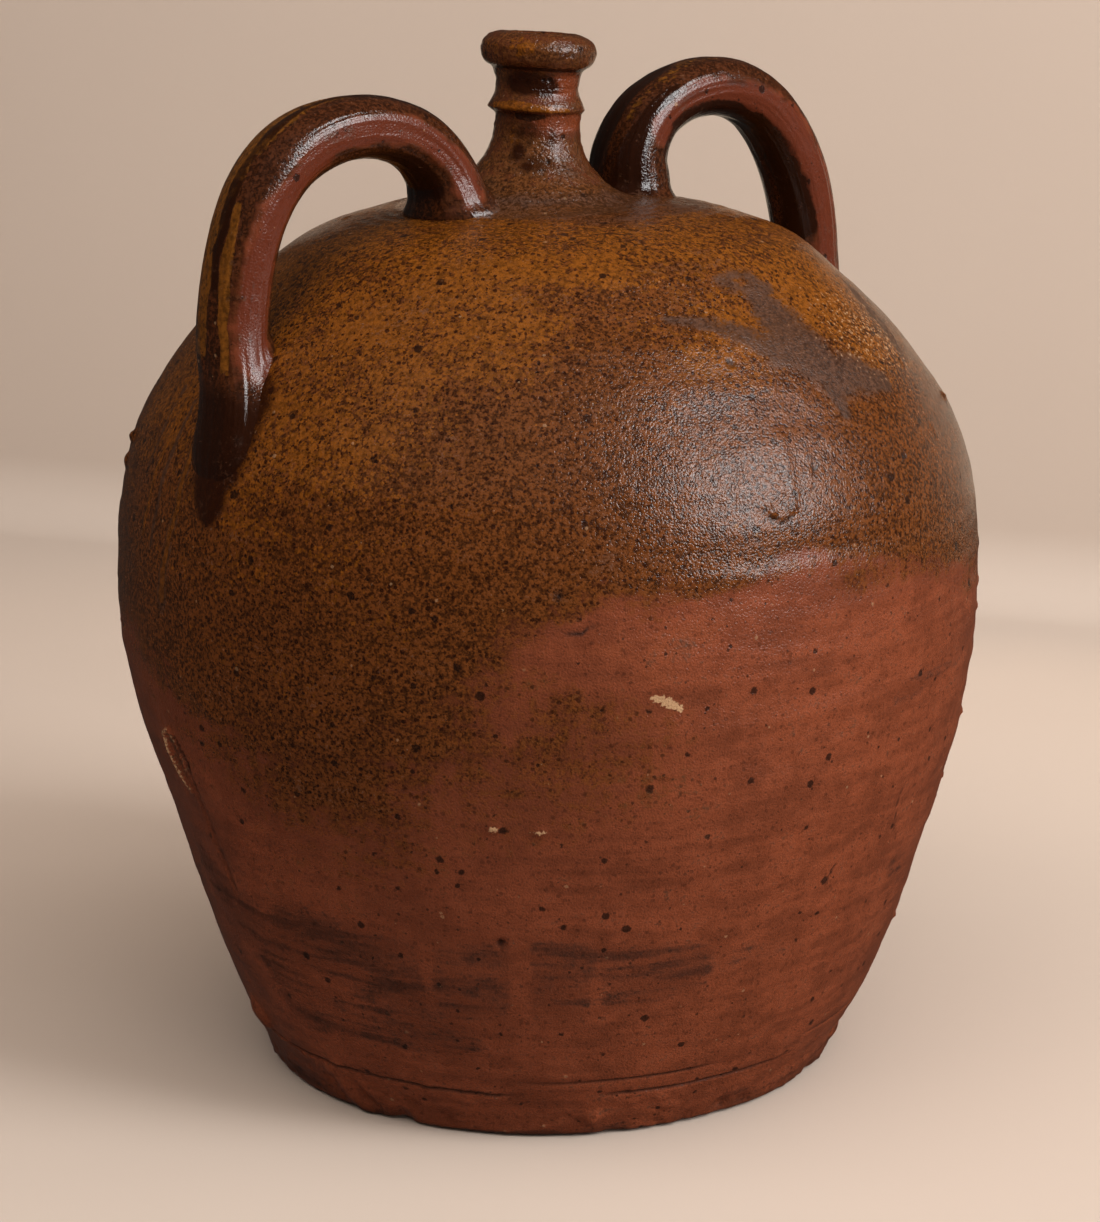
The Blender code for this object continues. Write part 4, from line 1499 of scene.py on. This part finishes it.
class Wire:
    """An output of a shader node, with arithmetic that adds Math nodes."""

    def __init__(self, board: Board, socket: bpy.types.NodeSocket) -> None:
        """Keep the socket.

        Args:
            board: Board that the node is on.
            socket: The output socket.
        """
        self.board = board
        self.socket = socket

    def __add__(self, other: Wire | float) -> Wire:
        """Sum of the two."""
        return self.board.math("ADD", self, other)

    def __radd__(self, other: float) -> Wire:
        """Sum of the two."""
        return self.board.math("ADD", other, self)

    def __sub__(self, other: Wire | float) -> Wire:
        """This one less the other."""
        return self.board.math("SUBTRACT", self, other)

    def __rsub__(self, other: float) -> Wire:
        """The other less this one."""
        return self.board.math("SUBTRACT", other, self)

    def __mul__(self, other: Wire | float) -> Wire:
        """Product of the two."""
        return self.board.math("MULTIPLY", self, other)

    def __rmul__(self, other: float) -> Wire:
        """Product of the two."""
        return self.board.math("MULTIPLY", other, self)

    def __truediv__(self, other: Wire | float) -> Wire:
        """This one over the other."""
        return self.board.math("DIVIDE", self, other)

    def __pow__(self, other: Wire | float) -> Wire:
        """This one to the power of the other."""
        return self.board.math("POWER", self, other)

    def most(self, other: Wire | float) -> Wire:
        """The greater of the two."""
        return self.board.math("MAXIMUM", self, other)

    def ramp(self, low: float, high: float) -> Wire:
        """Go smoothly from 0 to 1.

        Args:
            low: Value at which it is 0; it may be the larger of the two.
            high: Value at which it is 1.

        Returns:
            The share.
        """
        node = self.board.node("ShaderNodeMapRange", {"interpolation_type": "SMOOTHSTEP"},
                               {0: self, 1: low, 2: high})
        return Wire(self.board, node.outputs[0])


Feed = Wire | float | Colour


class Board:
    """The node board of one material."""

    def __init__(self, name: str) -> None:
        """Make a material with a plain Principled shader.

        Args:
            name: Name of the material.
        """
        self.material = bpy.data.materials.new(name)
        self.material.use_nodes = True
        self.tree = self.material.node_tree
        self.shader = self.tree.nodes["Principled BSDF"]
        self.places = Wire(self, self.node("ShaderNodeTexCoord").outputs["Object"])

    def node(self, kind: str, settings: dict[str, Any] | None = None,
             feeds: dict[int | str, Feed] | None = None) -> bpy.types.Node:
        """Add a node.

        Args:
            kind: Type of the node.
            settings: Its own settings, set before its sockets.
            feeds: Wires and values of its input sockets.

        Returns:
            The node.
        """
        node = self.tree.nodes.new(kind)
        for setting, value in (settings or {}).items():
            setattr(node, setting, value)
        for place, feed in (feeds or {}).items():
            self.feed(node.inputs[place], feed)
        return node

    def feed(self, socket: bpy.types.NodeSocket, feed: Feed) -> None:
        """Link a wire to an input socket, or set its value.

        Args:
            socket: The input socket.
            feed: Wire, number, or colour.
        """
        if isinstance(feed, Wire):
            self.tree.links.new(feed.socket, socket)
        elif isinstance(feed, tuple) and socket.type == "RGBA":
            socket.default_value = (*feed, 1.0)
        else:
            socket.default_value = feed

    def math(self, operation: str, first: Wire | float, second: Wire | float) -> Wire:
        """Add a Math node.

        Args:
            operation: What it does.
            first: Its first number.
            second: Its second number.

        Returns:
            The result.
        """
        node = self.node("ShaderNodeMath", {"operation": operation}, {0: first, 1: second})
        return Wire(self, node.outputs[0])

    def mix(self, share: Wire | float, under: Feed, over: Feed) -> Wire:
        """Lay one colour over another.

        Args:
            share: How much of the upper colour shows.
            under: The lower colour.
            over: The upper colour.

        Returns:
            The mixed colour.
        """
        node = self.node("ShaderNodeMix", {"data_type": "RGBA"},
                         {"Factor": share, 6: under, 7: over})
        return Wire(self, node.outputs[2])

    def cover(self, zone: Zone) -> Wire:
        """Cover of a zone, read from the mesh."""
        node = self.node("ShaderNodeAttribute", {"attribute_name": zone.value})
        return Wire(self, node.outputs["Fac"])

    def stretched(self, stretch: Triple = (1.0, 1.0, 1.0), shift: float = 0.0) -> Wire:
        """Object coordinates, scaled along each axis and moved."""
        return self.scaled(self.places, stretch, (shift,) * 3)

    def scaled(self, vector: Wire, scale: Triple, offset: Wire | Triple) -> Wire:
        """Scale a vector along each axis and move it.

        Args:
            vector: The vector.
            scale: Factor along each axis.
            offset: Vector that is added.

        Returns:
            The result.
        """
        node = self.node("ShaderNodeVectorMath", {"operation": "MULTIPLY_ADD"},
                         {0: vector, 1: scale, 2: offset})
        return Wire(self, node.outputs[0])

    def noise(self, size: float, detail: float, vector: Wire | None = None) -> Wire:
        """Random values round 0, from about -0.25 to 0.25, with features of a size.

        Args:
            size: Size of a feature.
            detail: Number of finer layers.
            vector: Coordinates, if not the object's own.

        Returns:
            The values.
        """
        middle = 0.5
        node = self.node("ShaderNodeTexNoise", feeds={
            "Vector": vector or self.places, "Scale": 1 / size, "Detail": detail})
        return Wire(self, node.outputs[0]) - middle

    def cells(self, size: float, vector: Wire) -> tuple[Wire, Wire]:
        """Divide space into random cells.

        Args:
            size: Distance between the middles of two cells.
            vector: Coordinates.

        Returns:
            Distance from the nearest middle, in sizes, and a random number for each cell.
        """
        node = self.node("ShaderNodeTexVoronoi", feeds={"Vector": vector, "Scale": 1 / size})
        chance = self.node("ShaderNodeSeparateColor", feeds={0: Wire(self, node.outputs[1])})
        return Wire(self, node.outputs[0]), Wire(self, chance.outputs[0])

    def spots(self, specks: Specks) -> Wire:
        """Strew round spots of mixed sizes.

        Args:
            specks: Their sizes and number.

        Returns:
            Cover of the spots, from 0 to 1.
        """
        unevenness, few_large = 0.9, 1.8
        rim, core = 1.15, 0.75
        warp = self.node("ShaderNodeTexNoise", feeds={
            "Vector": self.places, "Scale": 1.2 / specks.most, "Detail": 1.0})
        uneven = self.scaled(Wire(self, warp.outputs[1]), (specks.most * unevenness,) * 3,
                             self.stretched(shift=specks.shift))
        reach, luck = self.cells(specks.gap, uneven)
        bar = 1 - specks.share
        size = ((luck - bar).most(0.0) / specks.share) ** few_large
        radius = (size * (specks.most - specks.least) + specks.least) / specks.gap
        return (reach / radius).ramp(rim, core) * self.math("GREATER_THAN", luck, bar)

    def drops(self, size: float) -> Wire:
        """Random round drops that run together where more is added to them.

        Args:
            size: Distance between two drops.

        Returns:
            Values from about -1 between drops to 1 in the middle of a large one.
        """
        rim, fall = 0.42, 1.6
        reach, luck = self.cells(size, self.places)
        return luck - 0.5 + (rim - reach) * fall

    def bump(self, height: Wire) -> Wire:
        """Normals of a surface that is raised by a height in metres."""
        node = self.node("ShaderNodeBump", feeds={"Strength": 1.0, "Distance": 1.0, "Height": height})
        return Wire(self, node.outputs[0])

    def finish(self, **feeds: Feed) -> bpy.types.Material:
        """Feed the shader's sockets.

        Args:
            **feeds: Wires and values by socket, with spaces in names as underscores.

        Returns:
            The material.
        """
        for name, feed in feeds.items():
            self.feed(self.shader.inputs[name.replace("_", " ")], feed)
        return self.material


@dataclass(frozen=True)
class Specks:
    """Round specks strewn through a glaze.

    Attributes:
        gap: Distance between two possible specks.
        least: Radius of the smallest.
        most: Radius of the largest.
        share: Share of the possible specks that are there.
        shift: How far the whole pattern is moved.
    """

    gap: float
    least: float
    most: float
    share: float
    shift: float = 0.0


ASH_SPECKS = Specks(0.0026, 0.0003, 0.0011, 0.75, 4.1)
BLOTS = Specks(0.0125, 0.0007, 0.0020, 0.70, 5.9)
IRON_SPOTS = Specks(0.0085, 0.0005, 0.0021, 0.60)
MOTES = Specks(0.0042, 0.0003, 0.0008, 0.50, 2.3)
FLECKS = Specks(0.0085, 0.0004, 0.0010, 0.40, 1.7)


@dataclass(frozen=True)
class Fringe:
    """How the cover of a zone breaks up towards its edge.

    Attributes:
        gain: Weight of the cover itself.
        low: Sum at which the zone starts to show.
        high: Sum at which it is whole.
        patch: Weight of the broad mottling.
        streaks: Weight of the throwing streaks.
        grain: Weight of the fine grain.
    """

    gain: float
    low: float
    high: float
    patch: float = 0.0
    streaks: float = 0.0
    grain: float = 0.0


FRINGES: dict[Zone, Fringe] = {
    Zone.BLUSH: Fringe(1.2, 0.30, 0.90, patch=0.5),
    Zone.POOL_AND_SHADE: Fringe(1.4, 0.45, 0.90, patch=0.45, grain=0.12),
    Zone.SMEAR: Fringe(1.5, 0.25, 1.30, patch=1.3, streaks=1.4, grain=0.55),
    Zone.SOOT: Fringe(1.3, 0.40, 1.60, patch=1.2, streaks=3.2, grain=0.16),
    Zone.RUN: Fringe(1.3, 0.40, 0.75, grain=0.3),
    Zone.PALE_AND_PAINTED_SHEEN: Fringe(1.3, 0.45, 0.85, grain=0.5),
}


class Mottle:
    """Random values round 0 that the layers of one glaze share, named by their look."""

    def __init__(self, board: Board) -> None:
        """Add them to a board.

        Args:
            board: Board of the glaze.
        """
        self.broad = board.noise(0.026, 3)
        self.medium = board.noise(0.0065, 3)
        self.fine = board.noise(0.0017, 2)
        self.grit = board.noise(0.0009, 1)
        self.streaks = board.noise(0.0045, 3, board.stretched((0.12, 0.12, 1.0)))
        self.drips = board.noise(0.005, 3, board.stretched((1.0, 1.0, 0.12), 3.1))
        self.clumps = board.noise(0.0034, 2, board.stretched(shift=9.3))
        self.swathe = board.noise(0.030, 2, board.stretched((0.55, 0.55, 1.3), 5.3))
        self.light = board.noise(0.0024, 2, board.stretched(shift=7.7))
        self.grain = self.fine * 3.4 + self.grit * 1.4
        self.patch = self.broad * 0.9 + self.medium * 0.9
        self.sand = (self.grain + self.patch * 0.8).ramp(-0.55, 0.65)


def shade(colour: Colour, share: float) -> Colour:
    """Darken or lighten a colour."""
    return tuple(share * part for part in colour)


@dataclass(frozen=True)
class Glaze:
    """A fired glaze over clay that burnt brick-red, with colours as linear light.

    Attributes:
        name: Name of the material.
        body: Colour of the bare slip.
        brown: Colour of the thin brown glaze.
        ochre: Colour of the thick ash glaze.
        dark: Colour of the specks in it and of pooled glaze, also used as painted shade under the straps,
            the lip and the bead.
        smear: Grey brown where clay is smeared.
        soot: Colour of soot and of iron pits, and, darker, of the painted shade in cut lines and pits.
        blush: Colour where the slip is brightest.
        pale: Colour of bare chips and light flecks, also used for painted glints and a painted sheen.
        sandy: How much lighter each part of the brown is where it is sandy.
        covered: Least cover of the brown glaze.
        coat: Cover of clear glaze.
        coat_roughness: Roughness of the clear glaze.
        grain: Height of the fine grain.
        peel: Height of the orange peel.
        roughness: Roughness of the slip.
        gloss: Roughness of pooled glaze and of the painted shade.
        specular: Strength of the mirrored light.
        refraction: Index of refraction.
        speckled: Strength of the specks and drops in the glaze.
        drop_gap: Distance between two drops of the ash glaze.
        pit_depth: Depth of an iron spot.
        mote_height: Height of a dark mote.
        fleck_height: Height of a pale fleck.
    """

    name: str
    body: Colour = (0.166, 0.040, 0.0155)
    brown: Colour = (0.078, 0.0235, 0.0050)
    ochre: Colour = (0.145, 0.044, 0.0045)
    dark: Colour = (0.014, 0.0030, 0.0008)
    smear: Colour = (0.058, 0.025, 0.0135)
    soot: Colour = (0.010, 0.0035, 0.0020)
    blush: Colour = (0.170, 0.042, 0.014)
    pale: Colour = (0.360, 0.215, 0.115)
    sandy: Triple = (1.50, 1.45, 1.30)
    covered: float = 0.0
    coat: float = 0.0
    coat_roughness: float = 0.12
    grain: float = 0.00005
    peel: float = 0.00012
    roughness: float = 0.31
    gloss: float = 0.20
    specular: float = 0.42
    refraction: float = 1.45
    speckled: float = 1.0
    drop_gap: float = 0.0021
    pit_depth: float = 0.00006
    mote_height: float = 0.00003
    fleck_height: float = 0.00005

    def make(self) -> bpy.types.Material:
        """Make the material."""
        return Firing(self).finish()


class Firing:
    """One glaze on its board, built up layer by layer."""

    def __init__(self, glaze: Glaze) -> None:
        """Open the board and lay the random values.

        Args:
            glaze: The glaze to fire.
        """
        self.glaze = glaze
        self.board = Board(glaze.name)
        self.mottle = Mottle(self.board)
        self.colour: Feed = glaze.body

    def lay(self, share: Wire | float, over: Feed) -> None:
        """Lay a colour over what is there."""
        self.colour = self.board.mix(share, self.colour, over)

    def tones(self, share: Wire, colour: Colour, dark: float, light: float) -> Wire:
        """Go from a darker to a lighter tone of a colour."""
        return self.board.mix(share, shade(colour, dark), shade(colour, light))

    def zone(self, zone: Zone) -> Wire:
        """Cover of a zone, broken up at its edge.

        Args:
            zone: The zone.

        Returns:
            The cover, from 0 to 1.
        """
        fringe, mottle = FRINGES[zone], self.mottle
        total = self.board.cover(zone) * fringe.gain
        for values, weight in ((mottle.patch, fringe.patch), (mottle.streaks, fringe.streaks),
                               (mottle.grain, fringe.grain)):
            if weight:
                total = total + values * weight
        return total.ramp(fringe.low, fringe.high)

    def lay_slip(self) -> None:
        """Lay the brick-red slip with its streaks, dark grain and bright places."""
        glaze, mottle = self.glaze, self.mottle
        tone = mottle.broad + mottle.medium * 0.5 + mottle.streaks * 0.9
        self.colour = self.tones(tone.ramp(-0.30, 0.30), glaze.body, 0.72, 1.12)
        self.lay(mottle.grain.ramp(0.15, 0.75) * 0.35, shade(glaze.body, 0.45))
        self.lay(self.zone(Zone.BLUSH), glaze.blush)

    def lay_brown(self) -> Wire:
        """Lay the thin brown glaze, which drips and breaks over the slip.

        Returns:
            Its cover.
        """
        board, glaze, mottle = self.board, self.glaze, self.mottle
        bare = board.cover(Zone.BROWN).most(glaze.covered) - board.cover(Zone.BLUSH)
        broken = mottle.grain * 0.18 + mottle.patch * 1.1 + mottle.drips * 0.7 + mottle.streaks
        cover = (bare * 1.6 + broken).ramp(0.35, 1.25)
        light = tuple(part * gain for part, gain in zip(glaze.brown, glaze.sandy))
        self.lay(cover, board.mix(mottle.sand, shade(glaze.brown, 0.50), light))
        return cover

    def lay_ash(self, brown: Wire) -> tuple[Wire, Wire]:
        """Lay the ochre ash glaze, which breaks into drops, and its dark specks.

        Args:
            brown: Cover of the brown glaze.

        Returns:
            Cover of all glaze, and the ash glaze's colour.
        """
        board, glaze, mottle = self.board, self.glaze, self.mottle
        zone = board.cover(Zone.OCHRE)
        thick = zone * 1.9 - 0.55 + mottle.patch * 0.8 + mottle.streaks * 1.1 + mottle.swathe * 1.7
        broken = board.drops(glaze.drop_gap) + mottle.grain * 0.30 + mottle.clumps * 1.4
        cover = (thick + broken * glaze.speckled).ramp(0.30, 0.70) * zone.ramp(0.01, 0.10)
        light = (mottle.light + thick * 0.10 + mottle.grain * 0.10).ramp(-0.14, 0.28)
        tone = self.tones(light, glaze.ochre, 0.50, 1.15)
        self.lay(cover, tone)
        calm = (mottle.swathe + mottle.medium * 0.3).ramp(-0.05, 0.08) * zone.ramp(0.10, 0.60)
        pepper = (mottle.grit * 0.6 + mottle.fine * 0.4).ramp(-0.045, -0.125) * (1 - calm * 0.75)
        glazed = brown.most(cover)
        specks = (pepper * 0.60).most(board.spots(ASH_SPECKS) * 0.85)
        self.lay(specks * (glazed * 0.55 + 0.45) * glaze.speckled, glaze.dark)
        self.lay(board.spots(BLOTS) * zone.ramp(0.05, 0.40) * 0.90, glaze.soot)
        return glazed, tone

    def finish(self) -> bpy.types.Material:
        """Lay every layer and feed the shader.

        Returns:
            The material.
        """
        board, glaze, mottle = self.board, self.glaze, self.mottle
        self.lay_slip()
        glazed, ochre = self.lay_ash(self.lay_brown())
        iron, motes, flecks = board.spots(IRON_SPOTS), board.spots(MOTES), board.spots(FLECKS)
        pool, smear, groove = self.zone(Zone.POOL_AND_SHADE), self.zone(Zone.SMEAR), board.cover(Zone.GROOVE_SHADE)
        soot = self.zone(Zone.SOOT) * board.cover(Zone.SOOT).ramp(0.0, 0.60)
        for share, over in (
                (iron * 0.85, glaze.soot), (motes * 0.7, glaze.soot), (flecks * 0.35, glaze.pale),
                # The pooled layer also paints shade under the straps, the lip and the bead.
                (pool * 0.95, glaze.dark), (smear * 0.90, self.tones(mottle.sand, glaze.smear, 0.50, 1.15)),
                # The pale layer also paints glints and sheen on the wall.
                (soot * 0.66, glaze.soot), (self.zone(Zone.RUN), ochre), (self.zone(Zone.PALE_AND_PAINTED_SHEEN), glaze.pale),
                # Painted shade in cut lines and pits.
                (groove * 0.85, shade(glaze.soot, 0.6))):
            self.lay(share, over)

        roughness = glaze.roughness + mottle.medium * 0.10 + soot * 0.14 + groove * 0.2 + smear * 0.16
        roughness = roughness - glazed * 0.09 - pool * (glaze.roughness - glaze.gloss)
        relief = mottle.medium * (glaze.peel * 0.5) + mottle.grit * (glaze.grain * 7)
        relief = relief + mottle.fine * (glaze.grain * 1.5)
        relief = relief - iron * glaze.pit_depth + motes * glaze.mote_height + flecks * glaze.fleck_height
        return board.finish(
            Base_Color=self.colour, Roughness=roughness, IOR=glaze.refraction,
            Specular_IOR_Level=glaze.specular, Coat_Weight=board.cover(Zone.CLEAR) * glaze.coat,
            Coat_Roughness=glaze.coat_roughness, Normal=board.bump(relief))


WALL_GLAZE = Glaze("wall_glaze")
NECK_GLAZE = Glaze(
    "neck_glaze", body=(0.100, 0.025, 0.009), brown=(0.066, 0.023, 0.007), blush=(0.125, 0.027, 0.008),
    covered=0.60, coat=0.12, coat_roughness=0.08, grain=0.00007, peel=0.00018, roughness=0.22,
    specular=0.5, speckled=0.45)
STRAP_GLAZE = Glaze(
    "strap_glaze", brown=(0.036, 0.0105, 0.0038), ochre=(0.110, 0.038, 0.005), dark=(0.012, 0.003, 0.001),
    blush=(0.084, 0.0165, 0.006), covered=1.0, coat=0.08, coat_roughness=0.10, grain=0.00003,
    peel=0.00008, roughness=0.26, gloss=0.22, speckled=0.35)


@dataclass(frozen=True)
class Plain:
    """A matt even surface with a slight grain, such as clay, paper or card.

    Attributes:
        name: Name of the material.
        colour: Linear colour.
        shade: Linear colour of its darker patches.
        size: Size of the patches.
        roughness: Roughness.
        relief: Height of the grain.
    """

    name: str
    colour: Colour
    shade: Colour
    size: float
    roughness: float = 0.85
    relief: float = 0.0

    def make(self) -> bpy.types.Material:
        """Make the material.

        Returns:
            The material.
        """
        board = Board(self.name)
        patches = board.noise(self.size, 3).ramp(-0.20, 0.20)
        colour = board.mix(patches, self.shade, self.colour)
        grain = board.noise(self.size / 6, 2) * self.relief
        return board.finish(Base_Color=colour, Roughness=self.roughness, Normal=board.bump(grain))


PAPER = Plain("paper", (0.500, 0.416, 0.351), (0.489, 0.406, 0.342), 0.4)
BARE_CLAY = Plain("bare_clay", (0.20, 0.085, 0.05), (0.11, 0.045, 0.028), 0.02, relief=0.0004)


@dataclass(frozen=True)
class Lamp:
    """A soft box.

    Attributes:
        name: Name of the lamp.
        azimuth: Azimuth that it shines from, in degrees.
        elevation: Height of it over the horizon, in degrees.
        distance: Distance from its target.
        size: Width and height.
        watts: Power.
        colour: Linear colour.
        target: Point that it faces.
        mirrored: Whether it shows in glossy surfaces.
    """

    name: str
    azimuth: float
    elevation: float
    distance: float
    size: Pair
    watts: float
    colour: Colour
    target: Triple = (0.0, 0.0, 0.2)
    mirrored: bool = True

    def add(self) -> None:
        """Add the lamp to the scene."""
        light = bpy.data.lights.new(self.name, "AREA")
        light.shape = "RECTANGLE"
        light.size, light.size_y = self.size
        light.energy = self.watts
        light.color = self.colour
        azimuth, elevation = radians(self.azimuth), radians(self.elevation)
        offset = Vector((cos(azimuth) * cos(elevation), sin(azimuth) * cos(elevation), sin(elevation)))
        item = bpy.data.objects.new(self.name, light)
        item.location = Vector(self.target) + offset * self.distance
        item.rotation_euler = offset.to_track_quat("Z", "Y").to_euler()
        item.visible_glossy = self.mirrored
        item.visible_camera = False
        bpy.context.scene.collection.objects.link(item)


@dataclass(frozen=True)
class Studio:
    """Camera, paper sweep and light.

    Attributes:
        camera_place: Place of the camera.
        pitch: Angle by which it looks down, in degrees.
        yaw: Angle by which it looks to the right, in degrees.
        focal_length: Focal length in picture heights.
        fold: Two points on the line where floor and backdrop meet.
        fold_radius: Radius of the fold.
        fill: Linear colour of the light from all round.
        fill_strength: Strength of that light.
        lamps: The soft boxes.
    """

    camera_place: Triple = (0.0, -1.2549, 0.517)
    pitch: float = 14.0068
    yaw: float = 0.067
    focal_length: float = 2765 / 1222
    fold: tuple[Pair, Pair] = ((-0.42, 1.13), (0.37, 0.84))
    fold_radius: float = 0.06
    fill: Colour = (1.0, 0.84, 0.72)
    fill_strength: float = 0.04
    lamps: tuple[Lamp, ...] = (
        Lamp("key", -30, 32, 4.5, (1.4, 2.7), 190, (1.0, 1.0, 1.0)),
        Lamp("horizon", 68, 7, 0.8, (1.25, 0.36), 0.75, (1.0, 0.80, 0.60)),
        Lamp("front", -72, 28, 3.2, (2.6, 2.0), 18, (1.0, 0.92, 0.85), mirrored=False),
        Lamp("side", 0, 14, 2.0, (1.4, 1.2), 20, (1.0, 0.96, 0.93), mirrored=False),
        Lamp("ceiling", -90, 86, 2.0, (3.0, 2.0), 54, (1.0, 0.92, 0.86), (-0.5, -1.0, 0.0),
             mirrored=False),
        Lamp("backdrop_light", -100, 16, 0.8, (2.4, 0.3), 2.9, (1.0, 0.91, 0.85), (0.0, 1.0, 0.5)),
    )

    def build(self) -> None:
        """Add camera, sweep and light."""
        sensor = 36.0
        camera = bpy.data.cameras.new("camera")
        camera.sensor_width = sensor
        camera.lens = sensor * self.focal_length
        item = bpy.data.objects.new("camera", camera)
        item.location = self.camera_place
        item.rotation_euler = (pi / 2 - radians(self.pitch), 0, -radians(self.yaw))
        bpy.context.scene.collection.objects.link(item)
        bpy.context.scene.camera = item
        world = bpy.data.worlds.new("fill")
        world.use_nodes = True
        backing = world.node_tree.nodes["Background"]
        backing.inputs["Color"].default_value = (*self.fill, 1)
        backing.inputs["Strength"].default_value = self.fill_strength
        bpy.context.scene.world = world
        bpy.context.scene.view_settings.view_transform = "Standard"
        for lamp in self.lamps:
            lamp.add()
        self.add_sweep()

    def add_sweep(self) -> None:
        """Add the paper that runs from under the jar up behind it."""
        start, end = (Vector((*point, 0)) for point in self.fold)
        along = (end - start).normalized()
        back = Vector((-along.y, along.x, 0))
        reach, depth, height, bends = 4.0, 4.0, 3.0, 12
        rows = [(-depth, 0.0)]
        for step in range(bends + 1):
            angle = pi / 2 * step / bends
            rows.append((self.fold_radius * (sin(angle) - 1), self.fold_radius * (1 - cos(angle))))
        rows.append((0.0, height))
        middle = (start + end) / 2
        points = [middle + along * side * reach + back * run + Vector((0, 0, rise))
                  for run, rise in rows for side in (-1, 1)]
        faces = [(row, row + 1, row + 3, row + 2) for row in range(0, len(points) - 2, 2)]
        mesh = bpy.data.meshes.new("sweep")
        mesh.from_pydata(points, [], faces)
        mesh.shade_smooth()
        sweep = bpy.data.objects.new("sweep", mesh)
        mesh.materials.append(PAPER.make())
        bpy.context.scene.collection.objects.link(sweep)
        sweep.visible_glossy = False


class Jar:
    """The dressed jar."""

    def __init__(self, frame: dict[str, Any]) -> None:
        """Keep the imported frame.
        """
        self.frame = frame

    def dress(self, item: bpy.types.Object, node: str, slot: str, material: bpy.types.Material) -> None:
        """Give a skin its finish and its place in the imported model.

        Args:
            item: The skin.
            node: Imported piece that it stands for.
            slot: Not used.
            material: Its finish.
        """
        item.data.materials.append(material)
        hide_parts(node)
        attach(item, "root")
        LOG.info("%s: %d vertices", item.name, len(item.data.vertices))

    def build(self) -> None:
        """Build and dress every piece."""
        wall = Wall(WallForm())
        wall_glaze = WALL_GLAZE.make()
        lower, upper = wall.build()
        self.dress(lower, "lower_wall", "red_slip", wall_glaze)
        self.dress(upper, "upper_wall", "ash_glaze", wall_glaze)
        self.dress(Neck(NeckForm(), wall).build(), "neck", "neck_glaze", NECK_GLAZE.make())
        strap_glaze = STRAP_GLAZE.make()
        for strap in (LEFT_STRAP, RIGHT_STRAP):
            self.dress(Strap(strap, wall.outline).build(), strap.name, "strap_glaze", strap_glaze)
        disc = self.frame["nodes"]["base_disc"]
        disc.data.materials.clear()
        disc.data.materials.append(BARE_CLAY.make())


def main() -> None:
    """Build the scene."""
    logging.basicConfig(level=logging.INFO, format="%(name)s: %(message)s")
    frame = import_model()
    Jar(frame).build()
    Studio().build()


if __name__ == "__main__":
    main()
